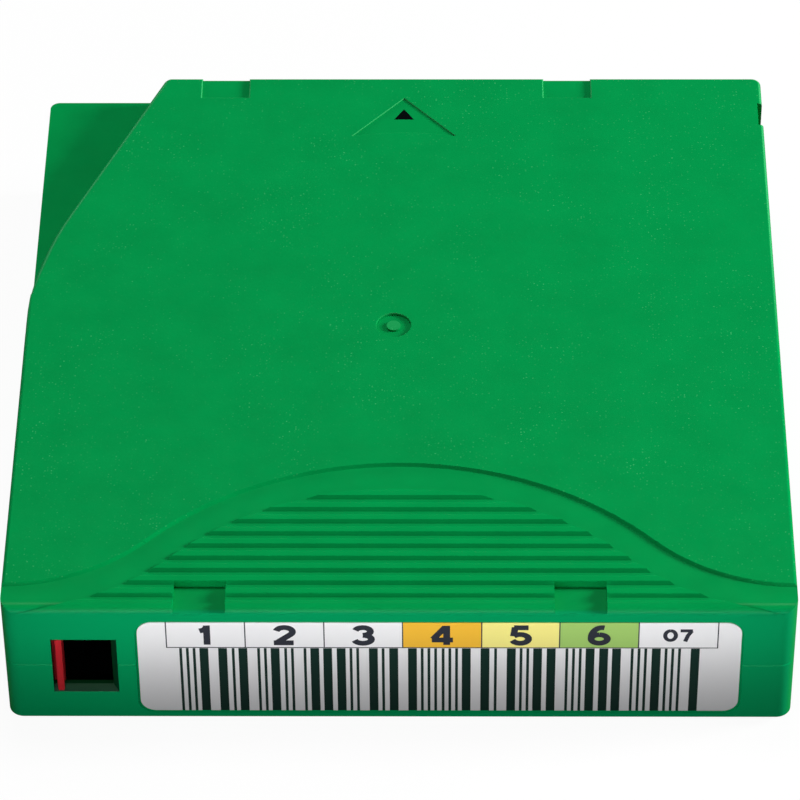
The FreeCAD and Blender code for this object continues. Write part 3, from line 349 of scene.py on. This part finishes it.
def lofted(bm, rings):
    # a closed skin through rings that have the same number of points
    loops = []
    for ring in rings:
        corners = [bm.verts.new(point) for point in ring]
        loops.append([bm.edges.new(pair) for pair in zip(corners, corners[1:] + corners[:1])])
    for one, two in zip(loops, loops[1:]):
        bmesh.ops.bridge_loops(bm, edges=one + two)
    for end in (loops[0], loops[-1]):
        bmesh.ops.edgeloop_fill(bm, edges=end)


def leftOf(points, i):
    # the mitred direction to the left of a flat path at one of its points
    before = (points[i] - points[i - 1]).normalized() if i else None
    after = (points[i + 1] - points[i]).normalized() if i + 1 < len(points) else None
    if before is None or after is None:
        way, reach = after or before, 1.0
    else:
        way = (before + after).normalized()
        reach = 1 / max(0.5, way.dot(before))
    return Vector((-way.y, way.x)) * reach


def edgeCutter(bm, path, radii, level, margin=0.6, steps=6):
    # what a rounding takes away along a path on a flat top; the material is on the path's left,
    # and the margin is how far the tool stands out of it
    points = [Vector(point) for point in path]
    rings = []
    for i, point in enumerate(points):
        radius, inward = radii[i], leftOf(points, i)
        turns = [math.pi / 2 * k / steps for k in range(steps + 1)]
        section = [(radius * (1 - math.sin(turn)), radius * (math.cos(turn) - 1)) for turn in turns]
        section += [(-margin, -radius), (-margin, margin), (radius, margin)]
        rings.append([(*(point + inward * along), level + up) for along, up in section])
    lofted(bm, rings)


def carved(bm, tools):
    # the form with the tools taken away; both are used up
    made = []
    bmesh.ops.recalc_face_normals(tools, faces=tools.faces)
    for name, form in (("form", bm), ("tools", tools)):
        mesh = bpy.data.meshes.new(name)
        form.to_mesh(mesh)
        form.free()
        made.append(bpy.data.objects.new(name, mesh))
        bpy.context.scene.collection.objects.link(made[-1])
    cut = made[0].modifiers.new("cut", "BOOLEAN")
    cut.operation = "DIFFERENCE"
    cut.solver = "MANIFOLD"
    cut.object = made[1]
    bpy.context.view_layer.update()
    result = bmesh.new()
    result.from_object(made[0], bpy.context.evaluated_depsgraph_get())
    for one in made:
        bpy.data.meshes.remove(one.data)
    return result


def softened(bm, width, wanted, least=35.0):
    # rounds the sharp edges that the test picks; mm and degrees
    sharp = math.radians(least)
    edges = [edge for edge in bm.edges if len(edge.link_faces) == 2
             and edge.calc_face_angle(0) > sharp and wanted(edge)]
    bmesh.ops.bevel(bm, geom=edges, offset=width * mm, offset_type="OFFSET", segments=2,
                    profile=0.5, affect="EDGES", clamp_overlap=True, material=-1)
    return bm


def smoothed(piece, sharp=26.0):
    # smooth across small angles only, with the large faces kept flat
    for face in piece.data.polygons:
        face.use_smooth = True
    piece.data.set_sharp_from_angle(angle=math.radians(sharp))
    even = piece.modifiers.new("evenNormals", "WEIGHTED_NORMAL")
    even.mode = "FACE_AREA"
    even.weight = 100
    even.keep_sharp = True
    return piece


case = {
    "green": paint(0, 148, 73),
    "deep": paint(0, 136, 66),         # the tone it drifts to
    # the flecks' colour, also the colour of the painted highlight on the top's rounded edges
    "fleckAndPaintedHighlight": paint(100, 216, 146),
    "wall": paint(0, 148, 88),         # a bluer tint painted on the label's side for the pale light it reflects
    "shade": paint(4, 8, 8),           # painted shade inside the write-protect window and the pocket behind it
    "roughness": 0.33,
    "sheen": 0.06,
    "fleckSize": 0.13,                 # lengths and levels are in mm
    "fleckSpace": 0.42,
    "fleckMost": 0.4,                  # how far a fleck may lighten the green
    "grainDepth": 0.03,
    "grained": 21.3,                   # flecked and fully grained above this level
    "bell": (0, -71.7, 45.0),          # the grip area's arc: no flecks inside it
    "wallDepth": (-52.4, -51.9),       # the painted bluer tint ends here inwards
    "wallTop": (20.4, 20.9),           # and here upwards
    "paintedHighlight": 0.3,                     # how light the painted highlight on the top's rounded edges is
    "paintedHighlightLevels": (21.31, 21.37, 21.44, 21.49),
    "paintedHighlightFrom": (-5.0, 15.0),        # the painted highlight fades in towards the rear
    # boxes that get the painted shade: the window with its bevels, and the pocket behind it
    "window": ((-44.85, -52.66, 5.55), (-36.25, -38.0, 15.45)),
    "windowShade": 0.88,
    "pocket": ((-50.5, -51.3, 1.0), (-32.0, -33.0, 20.2)),
    "top": 21.5,
    "stepPath": ((-46.55, 23.17), (-47.48, 20.81), (-48.3, 18.4),
                 (-49.01, 15.96), (-49.62, 13.5), (-50.11, 11.01), (-50.5, 8.5), (-50.72, 6.6)),
    "stepEdge": 0.85,                  # rounding along the low corner's step
    "stepFade": (0.85, 0.65, 0.4),     # its last points, as shares of that
    "stepLead": 0.7,                   # its start along the rear,
    "stepLeadEdge": 0.4,               # and the rounding there
    "corner": (-34.27, 52.7),          # where the step meets the rear
    "cornerRound": 1.3,                # radius of this corner in plan
    "cornerAcross": 0.667,             # the middle of its rounding, in radii from the corner
    "cornerTurn": 157.4,               # degrees, where the rounding runs into the step
    "cornerParts": 7,
    "cornerOutside": ((-3.0, -3.5), (-1.5, 1.5), (0.867, 1.5)),
    "cornerLevels": (16.82, 23.0),     # from the low corner's top to above the case
    "notches": ((-28.9, -22.2), (19.9, 26.6)),
    "notchEnd": 48.4,
    "notchRear": 54.2,
    "notchEdge": 0.25,
    "arrowArc": (7.33, 39.9, 34.0, 0.78),   # half its width, corners, radius and rise
    "arrowParts": 24,
    "arrowEdge": 0.22,
    "arrowCut": 21.15,                 # its floor in the solid
    "arrowFloor": 21.27,               # and here
    "arrowSpan": (39, 49),             # from front to rear
    "arrowSides": (40.8, 49),
    "markReach": 8,                    # half the width that holds the arrow and the gate mark
    "gateReach": 5,
    "markEdge": 0.1,                   # rounding of the arrow's sides and the gate mark
}


def casePlastic():
    made = Finish("casePlastic", case["green"], case["roughness"], Specular_IOR_Level=case["sheen"])
    x, y, z = made.axes()
    middleX, middleY, reach = (value * mm for value in case["bell"])
    away = ((x - middleX) * (x - middleX) + (y - middleY) * (y - middleY)) ** 0.5
    grained = (z > case["grained"] * mm) * (away > reach)

    # flecks: a chance dot in some cells, in patches
    scale = 1 / (case["fleckSpace"] * mm)
    cells = made.node("TexVoronoi", {"feature": "F1"}, {"Vector": made.place, "Scale": scale})
    chance = made.node("SeparateXYZ", None, {0: cells.other("Color")})
    size = case["fleckSize"] * mm * scale
    patches = made.ramp(made.noise(95.0), 0.38, 0.66, 0.15, 1.0)
    speck = made.ramp(cells, size * 0.1, size, 1.0, 0.0) * chance ** 4.0 * grained * patches

    drift = made.ramp(made.noise(140.0, detail=4.0, roughness=0.6), 0.3, 0.7)
    base = made.blend(drift * 0.6, case["green"], case["deep"])
    # painted reflection: the label's side gets a bluer tint for the pale light it reflects
    front = (made.ramp(y, *(end * mm for end in case["wallDepth"]), 1.0, 0.0)
             * made.ramp(z, *(end * mm for end in case["wallTop"]), 1.0, 0.0))
    base = made.blend(front, base, case["wall"])
    base = made.blend((speck * 0.6).least(case["fleckMost"]), base, case["fleckAndPaintedHighlight"])

    # painted highlight on the top's rounded edges, lighter towards the rear
    levels = [level * mm for level in case["paintedHighlightLevels"]]
    edge = made.ramp(z, *levels[:2]) * made.ramp(z, *levels[2:], 1.0, 0.0)
    edge = edge * made.ramp(y, *(end * mm for end in case["paintedHighlightFrom"]))
    base = made.blend(edge * case["paintedHighlight"], base, case["fleckAndPaintedHighlight"])

    # painted shade: the window's bevels and inside, and the slider's pocket, are darkened
    hidden = made.within((x, y, z), *case["window"]) * case["windowShade"]
    hidden = hidden.most(made.within((x, y, z), *case["pocket"]))
    made.colour(made.blend(hidden, base, case["shade"]))
    made.rough(made.ramp(made.noise(500.0, detail=3.0), 0.3, 0.7,
                         case["roughness"] - 0.04, case["roughness"] + 0.05))
    grain = made.noise(1900.0, detail=3.0, roughness=0.6)
    made.bump(grain * (0.35 + grained * 0.65), case["grainDepth"] * mm, 0.5)
    return made


def onMark(edge):
    # the arrow's slanted sides and the gate mark
    where = (edge.verts[0].co + edge.verts[1].co) / 2 / mm
    front, rear = case["arrowSides"]
    return (all(vert.co.z > (case["top"] - 0.05) * mm for vert in edge.verts)
            and abs(where.x) < case["markReach"]
            and (front < where.y < rear or abs(where.y) < case["gateReach"]))


def cornerRounding():
    # the step's rear corner in plan, from the rear round to the step
    x, y = case["corner"]
    radius = case["cornerRound"]
    return arc(x + radius * case["cornerAcross"], y - radius, radius, radius, 90, case["cornerTurn"],
               case["cornerParts"])


def cornerCutter():
    # what the rounding takes from the step's rear corner, above the low corner's top
    x, y = case["corner"]
    bm = bmesh.new()
    plan = cornerRounding() + [(x + right, y + back) for right, back in case["cornerOutside"]]
    lofted(bm, [[(*point, level) for point in plan] for level in case["cornerLevels"]])
    return scaled(bm)


def caseCutters():
    # roundings along the step, round the rear notches and at the arrow's base
    bm = bmesh.new()
    corner, path = cornerRounding(), case["stepPath"]
    whole = [(corner[0][0] + case["stepLead"], corner[0][1])] + corner + list(path)
    thin, full, fade = case["stepLeadEdge"], case["stepEdge"], case["stepFade"]
    radii = [thin + (full - thin) * i / len(corner) for i in range(len(corner) + 1)]
    radii += [full] * (len(path) - len(fade)) + [full * share for share in fade]
    edgeCutter(bm, whole, radii, case["top"])

    rear, end = case["notchRear"], case["notchEnd"]
    for left, right in case["notches"]:
        edgeCutter(bm, ((right, rear), (right, end), (left, end), (left, rear)),
                   [case["notchEdge"]] * 4, case["top"], margin=0.4)

    half, corners, radius, rise = case["arrowArc"]
    parts = case["arrowParts"]
    turn = math.degrees(math.asin(half / radius))
    base = arc(0, corners + rise - radius, radius, radius, 90 - turn, 90 + turn, parts)
    radii = [case["arrowEdge"] * max(0.1, math.sin(math.pi * i / parts) ** 0.3)
             for i in range(parts + 1)]
    edgeCutter(bm, base, radii, case["top"], margin=0.25)
    return scaled(bm)


def upperForm():
    bm = mergedCopy("upper_case")
    front, rear = case["arrowSpan"]
    for vert in bm.verts:
        where = vert.co / mm
        if (abs(where.x) < case["markReach"] and front < where.y < rear
                and abs(where.z - case["arrowCut"]) < 0.02):
            vert.co.z = case["arrowFloor"] * mm
    softened(bm, case["markEdge"], onMark)
    return carved(carved(bm, cornerCutter()), caseCutters())


casePaint = casePlastic()
upper = smoothed(keep("upperShell", upperForm(), casePaint, "case", ["upper_case"]))
lower = smoothed(keep("lowerShell", mergedCopy("lower_case"), casePaint, "case",
                      ["lower_case"]))
print("shells are made", len(upper.data.polygons), len(lower.data.polygons))


def moulded(name, colour, roughness, sheen=0.35):
    # a plain moulded plastic with a little drift in tone and gloss
    made = Finish(name, colour, roughness, Specular_IOR_Level=sheen)
    drift = made.ramp(made.noise(160.0, detail=3.0), 0.35, 0.65)
    made.colour(made.blend(drift, colour, darkened(colour, 0.92)))
    made.rough(made.ramp(made.noise(420.0), 0.3, 0.7, roughness - 0.05, roughness + 0.07))
    made.bump(made.noise(1500.0), 0.02 * mm, 0.4)
    return made


def metal(name, colour, roughness, stretch=(1, 1, 1)):
    # bare metal with fine marks drawn out along one way
    made = Finish(name, colour, roughness, Metallic=1.0)
    marks = made.noise(900.0, detail=4.0, roughness=0.6, where=made.mapped(stretch))
    made.colour(made.blend(made.ramp(marks, 0.35, 0.65), colour, darkened(colour, 0.72)))
    made.rough(made.ramp(marks, 0.3, 0.7, roughness - 0.08, roughness + 0.1))
    made.bump(marks, 0.01 * mm, 0.35)
    return made


hub = (-1.1, 0.4)     # mm, the reel's axis


def turnedPlate(name, colour, roughness):
    # a stamped plate with rings left by turning
    made = Finish(name, colour, roughness, Metallic=1.0)
    rings = made.rings(hub, 260.0, 1.2, 2.0)
    made.colour(made.blend(rings * 0.5, colour, darkened(colour, 0.7)))
    made.rough(made.ramp(rings, 0.0, 1.0, roughness - 0.05, roughness + 0.1))
    made.bump(rings, 0.01 * mm, 0.3)
    return made


def tapeEdge(name, colour, worn, roughness):
    # the wound tape: fine rings seen from its ends
    made = Finish(name, colour, roughness, Specular_IOR_Level=0.5)
    rings = made.rings(hub, 900.0, 0.6, 1.0)
    made.colour(made.blend(rings * 0.6, colour, worn))
    made.rough(made.ramp(rings, 0.0, 1.0, roughness - 0.06, roughness + 0.08))
    made.bump(rings, 0.01 * mm, 0.3)
    return made


def boardFinish(name, colour, weft):
    # the laminate's weave shows faintly
    made = Finish(name, colour, 0.35, Specular_IOR_Level=0.5)
    weave = made.node("TexChecker", None, {"Vector": made.place, "Scale": 2200.0}, out="Fac")
    made.colour(made.blend(weave * 0.35, colour, weft))
    made.bump(weave, 0.004 * mm, 0.3)
    return made


inside = {
    "door": moulded("doorPlastic", paint(0, 140, 72), 0.35, sheen=0.05),
    "door_spring": metal("doorSpringSteel", (0.55, 0.55, 0.56, 1), 0.32),
    "brake_spring": metal("brakeSpringSteel", (0.55, 0.55, 0.56, 1), 0.32),
    "write_protect_slider": moulded("sliderPlastic", paint(186, 30, 40), 0.38),
    "leader_pin": metal("pinSteel", (0.6, 0.6, 0.61, 1), 0.22, (1, 1, 8)),
    "leader_pin_clip": moulded("clipPlastic", paint(34, 34, 36), 0.42),
    "pin_spring": metal("pinSpringSteel", (0.5, 0.5, 0.52, 1), 0.35, (6, 1, 1)),
    "reel_hub": moulded("hubPlastic", paint(212, 212, 208), 0.4),
    "reel_upper_flange": moulded("flangePlastic", paint(200, 203, 204), 0.22, sheen=0.5),
    "reel_plate": turnedPlate("plateSteel", (0.52, 0.52, 0.54, 1), 0.28),
    "tape_pack": tapeEdge("tapeFilm", paint(38, 34, 33), paint(58, 50, 46), 0.28),
    "tape_leader": moulded("leaderFilm", paint(40, 36, 34), 0.3, sheen=0.5),
    "brake_disc": moulded("brakePlastic", paint(232, 230, 220), 0.42),
    "release_pad": moulded("padPlastic", paint(222, 220, 208), 0.4),
    "memory_board": boardFinish("boardLaminate", paint(26, 92, 60), paint(20, 76, 50)),
    "memory_chip": moulded("chipResin", paint(30, 31, 34), 0.5),
    "case_screws": metal("screwSteel", (0.5, 0.5, 0.52, 1), 0.3),
    "label": moulded("labelBack", paint(236, 236, 236), 0.5),
    "upper_case": casePaint,
    "lower_case": casePaint,
}
for name, node in frame["nodes"].items():
    node.data.materials.clear()
    node.data.materials.append(inside[name].material)

bodyOf = {node: body for body, nodes in frame["record"]["behaviour"]["bodies"].items() for node in nodes}
rounded = {"door": 0.2, "write_protect_slider": 0.12, "leader_pin_clip": 0.1, "release_pad": 0.15,
           "memory_chip": 0.05, "brake_disc": 0.15}     # mm
drawnElsewhere = ("upper_case", "lower_case", "label", "door_spring", "brake_spring")
for name in inside:
    if name in drawnElsewhere:
        continue
    form = mergedCopy(name)
    if name in rounded:
        softened(form, rounded[name], lambda edge: True, least=50.0)
    smoothed(keep(name + "Form", form, inside[name], bodyOf[name], [name]))
print("inner parts are made")


springs = {
    "door_spring": {
        "start": (-48.4, 0.05, 9.0), "end": (-48.4, 24.45, 9.0),      # mm
        "radius": 0.95, "wire": 0.12, "turns": 13,       # radii of the coil and of its wire
        "joint": "door_slide", "travel": 21.0,
    },
    "brake_spring": {
        "start": (-1.1, 0.4, 19.95), "end": (-1.1, 0.4, 5.35),
        "radius": 6.3, "wire": 0.33, "turns": 6,
        "joint": "brake_lift", "travel": 2.0,
    },
}


def coil(spring, stepsPerTurn=20):
    # a round wire spun along the axis from its fixed end
    bm = bmesh.new()
    start, end = Vector(spring["start"]), Vector(spring["end"])
    way = (end - start).normalized()
    side = Vector((1, 0, 0))
    wire = spring["wire"]
    bmesh.ops.create_circle(bm, cap_ends=True, segments=8, radius=wire)
    turn = way.cross(side).to_track_quat("Z", "Y").to_matrix()
    bmesh.ops.rotate(bm, cent=(0, 0, 0), matrix=turn, verts=bm.verts)
    bmesh.ops.translate(bm, vec=start + way * wire + side * spring["radius"], verts=bm.verts)
    count = stepsPerTurn * spring["turns"]
    rise = way * (((end - start).length - 2 * wire) / count)
    bmesh.ops.spin(bm, geom=bm.faces[:], cent=start, axis=way, dvec=rise,
                   angle=2 * math.pi * spring["turns"], steps=count, use_merge=False)
    bmesh.ops.recalc_face_normals(scaled(bm), faces=bm.faces)
    return bm


for name, spring in springs.items():
    made = smoothed(keep(name + "Coil", coil(spring), inside[name], "case", [name]))
    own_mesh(made)
print("springs are wound")


label = {
    "left": -33.65, "right": 43.95, "low": 1.97, "high": 18.44,    # mm
    "corner": 2.0,
    "outer": -52.52,                   # Y of its outer face
    "stock": 0.12,
    "paintedShade": 0.68,                      # the share of light the painted shade leaves at the lower edge
    "edges": (-29.9, -19.77, -9.62, 0.46, 10.61, 20.61, 30.75, 40.91),   # printed boxes
    "boxLow": 13.82,
    "line": 0.16,                      # printed line round each box
    "bars": (-28.3, 38.65),
    "barHigh": 13.7,
    "bar": (0.35, 1.12),               # thin and wide bars
    "space": (0.5, 1.25),              # thin and wide spaces
    "gap": 0.6,                        # between two groups
    "groups": 10,
    "seed": 11,                        # picks the wide bars and spaces
    "characters": ("1", "2", "3", "4", "5", "6", "07"),
    "tall": 3.55,
    "broad": 2.9,
    "stroke": 0.88,
    "advance": 1.14,                   # from one character to the next, in widths
    "small": 0.62,                     # the last box's characters against the others
    "ink": 0.008,                      # how thick a character's first stroke is
    "inkStep": 0.003,                  # and how much each later one adds
    "inkClear": 0.002,                 # between the paper's face and the strokes
    "roughness": 0.45,
    "sheen": 0.3,
}


def barEdges():
    # a generic row of bars in groups
    rule = random.Random(label["seed"])
    x, edges = 0.0, []
    for _ in range(label["groups"]):
        wideBars = rule.sample(range(5), 2)
        wideSpace = rule.randrange(4)
        for i in range(5):
            width = label["bar"][i in wideBars]
            edges.append((x, x + width))
            x += width + (label["space"][i == wideSpace] if i < 4 else label["gap"])
    first, last = label["bars"]
    scale = (last - first) / edges[-1][1]
    return [(first + a * scale, first + b * scale) for a, b in edges]


upright = Matrix.Rotation(math.radians(90), 3, "X")      # from lying flat to the label's side


def labelSheet():
    # rounded paper, cut along every printed edge, each field with its own ink
    bm = bmesh.new()
    bmesh.ops.create_grid(bm, x_segments=1, y_segments=1, size=0.5)
    wide, tall = label["right"] - label["left"], label["high"] - label["low"]
    bmesh.ops.scale(bm, vec=(wide, tall, 1), verts=bm.verts)
    bmesh.ops.bevel(bm, geom=bm.verts, offset=label["corner"], segments=10, profile=0.5,
                    affect="VERTICES", material=-1)
    bmesh.ops.rotate(bm, cent=(0, 0, 0), matrix=upright, verts=bm.verts)
    middle = ((label["left"] + label["right"]) / 2, label["outer"], (label["low"] + label["high"]) / 2)
    bmesh.ops.translate(bm, vec=middle, verts=bm.verts)
    bars = barEdges()
    line = label["line"] / 2
    cuts = [((x, 0, 0), (1, 0, 0)) for pair in bars for x in pair]
    cuts += [((x + side, 0, 0), (1, 0, 0)) for x in label["edges"] for side in (-line, line)]
    cuts += [((0, 0, level), (0, 0, 1))
             for level in (label["boxLow"] - line, label["boxLow"] + line, label["barHigh"])]
    for point, across in cuts:
        bmesh.ops.bisect_plane(bm, geom=bm.verts[:] + bm.edges[:] + bm.faces[:],
                               plane_co=point, plane_no=across)
    for face in bm.faces:
        where = face.calc_center_median()
        face.material_index = labelInk(where.x, where.z, bars)
    bmesh.ops.solidify(bm, geom=bm.faces[:], thickness=label["stock"])
    return scaled(bm)


def labelInk(x, z, bars):
    # 0 paper, 1 line, 2 bar, then the three coloured boxes; the order of the inks below
    edges, line = label["edges"], label["line"] / 2
    if z < label["barHigh"]:
        return 2 if any(a < x < b for a, b in bars) else 0
    if not edges[0] - line < x < edges[-1] + line:
        return 0
    if z < label["boxLow"] + line or any(abs(x - edge) < line for edge in edges):
        return 1 if z > label["boxLow"] - line else 0
    box = sum(x > edge for edge in edges) - 1
    return box if box in (3, 4, 5) else 0


def digitStrokes(digit):
    # centre lines of a plain digit in a box 1 wide and 1 tall
    return {
        "0": [arc(0.5, 0.5, 0.38, 0.4, 90, 450, 28)],
        "1": [[(0.56, 0.0), (0.56, 1.0)], [(0.24, 0.72), (0.44, 0.76), (0.56, 0.9)]],
        "2": [arc(0.5, 0.68, 0.36, 0.22, 170, -38) + [(0.14, 0.1)], [(0.02, 0.1), (0.9, 0.1)]],
        "3": [arc(0.48, 0.7, 0.34, 0.2, 165, -90), arc(0.48, 0.29, 0.38, 0.21, 90, -165)],
        "4": [[(0.7, 0.0), (0.7, 1.0)], [(0.64, 0.93), (0.1, 0.3)], [(0.04, 0.26), (0.98, 0.26)]],
        "5": [[(0.84, 0.9), (0.2, 0.9)], [(0.25, 0.92), (0.18, 0.46)],
              arc(0.48, 0.32, 0.37, 0.23, 140, -160)],
        "6": [arc(0.5, 0.32, 0.36, 0.22, 90, 450, 28), arc(0.62, 0.38, 0.48, 0.53, 78, 185)],
        "7": [[(0.06, 0.9), (0.94, 0.9)], [(0.86, 0.88), (0.6, 0.5), (0.42, 0.0)]],
    }[digit]


def drawStroke(bm, points, width, thickness):
    # a flat strip along a centre line, mitred at its corners, with square ends
    points = [Vector(point) for point in points]
    rings = []
    for i, point in enumerate(points):
        across = leftOf(points, i) * width / 2
        one, two = point + across, point - across
        rings.append([(*one, 0), (*two, 0), (*two, thickness), (*one, thickness)])
    lofted(bm, rings)


def labelCharacters():
    # digits in the middle of the boxes, the last ones smaller
    bm = bmesh.new()
    edges = label["edges"]
    for i, characters in enumerate(label["characters"]):
        size = label["small"] if i == len(label["characters"]) - 1 else 1.0
        broad, tall = label["broad"] * size, label["tall"] * size
        step = broad * label["advance"]
        left = (edges[i] + edges[i + 1]) / 2 - (step * (len(characters) - 1) + broad) / 2
        level = (label["boxLow"] + label["high"]) / 2 - tall / 2
        for j, digit in enumerate(characters):
            for k, points in enumerate(digitStrokes(digit)):
                placed = [(left + step * j + x * broad, level + y * tall) for x, y in points]
                drawStroke(bm, placed, label["stroke"] * size, label["ink"] + label["inkStep"] * k)
    bmesh.ops.rotate(bm, cent=(0, 0, 0), matrix=upright, verts=bm.verts)
    bmesh.ops.translate(bm, vec=(0, label["outer"] - label["inkClear"], 0), verts=bm.verts)
    bmesh.ops.recalc_face_normals(scaled(bm), faces=bm.faces)
    return bm


def paper(name, colour):
    # painted shade, darker towards the lower edge, for the light that falls off down the label's side
    made = Finish(name, colour, label["roughness"], Specular_IOR_Level=label["sheen"])
    up = made.ramp(made.axes()[2], label["low"] * mm, label["high"] * mm)
    made.colour(made.blend(up, darkened(colour, label["paintedShade"]), colour))
    made.bump(made.noise(900.0, detail=3.0), 0.01 * mm, 0.35)
    return made


inks = [paper("labelPaper", paint(244, 244, 246)), paper("labelLine", paint(60, 62, 70)),
        paper("labelBar", paint(12, 46, 38)), paper("labelOrange", paint(246, 190, 58)),
        paper("labelYellow", paint(250, 240, 140)), paper("labelLime", paint(163, 205, 110))]
keep("labelSheet", labelSheet(), inks, "case", ["label"])
characterInk = paper("labelCharacter", paint(45, 48, 58))
keep("labelCharacters", labelCharacters(), characterInk, "case")
print("label is made")


arrow = {
    "points": ((0.0, 45.96), (-1.4, 43.72), (1.4, 43.72)),     # mm
    "ink": 0.01,
    "colour": paint(4, 10, 9),
}


def arrowPrint():
    # the printed triangle on the floor of the arrow's recess
    bm = bmesh.new()
    corners = [bm.verts.new((x, y, case["arrowFloor"])) for x, y in arrow["points"]]
    face = bm.faces.new(corners)
    raised = bmesh.ops.extrude_face_region(bm, geom=[face])
    lifted = [item for item in raised["geom"] if isinstance(item, bmesh.types.BMVert)]
    bmesh.ops.translate(bm, vec=(0, 0, arrow["ink"]), verts=lifted)
    bmesh.ops.recalc_face_normals(scaled(bm), faces=bm.faces)
    return bm


arrowInk = Finish("arrowInk", arrow["colour"], 0.6, Specular_IOR_Level=0.02)
keep("arrowPrint", arrowPrint(), arrowInk, "case")
print("arrow is made")
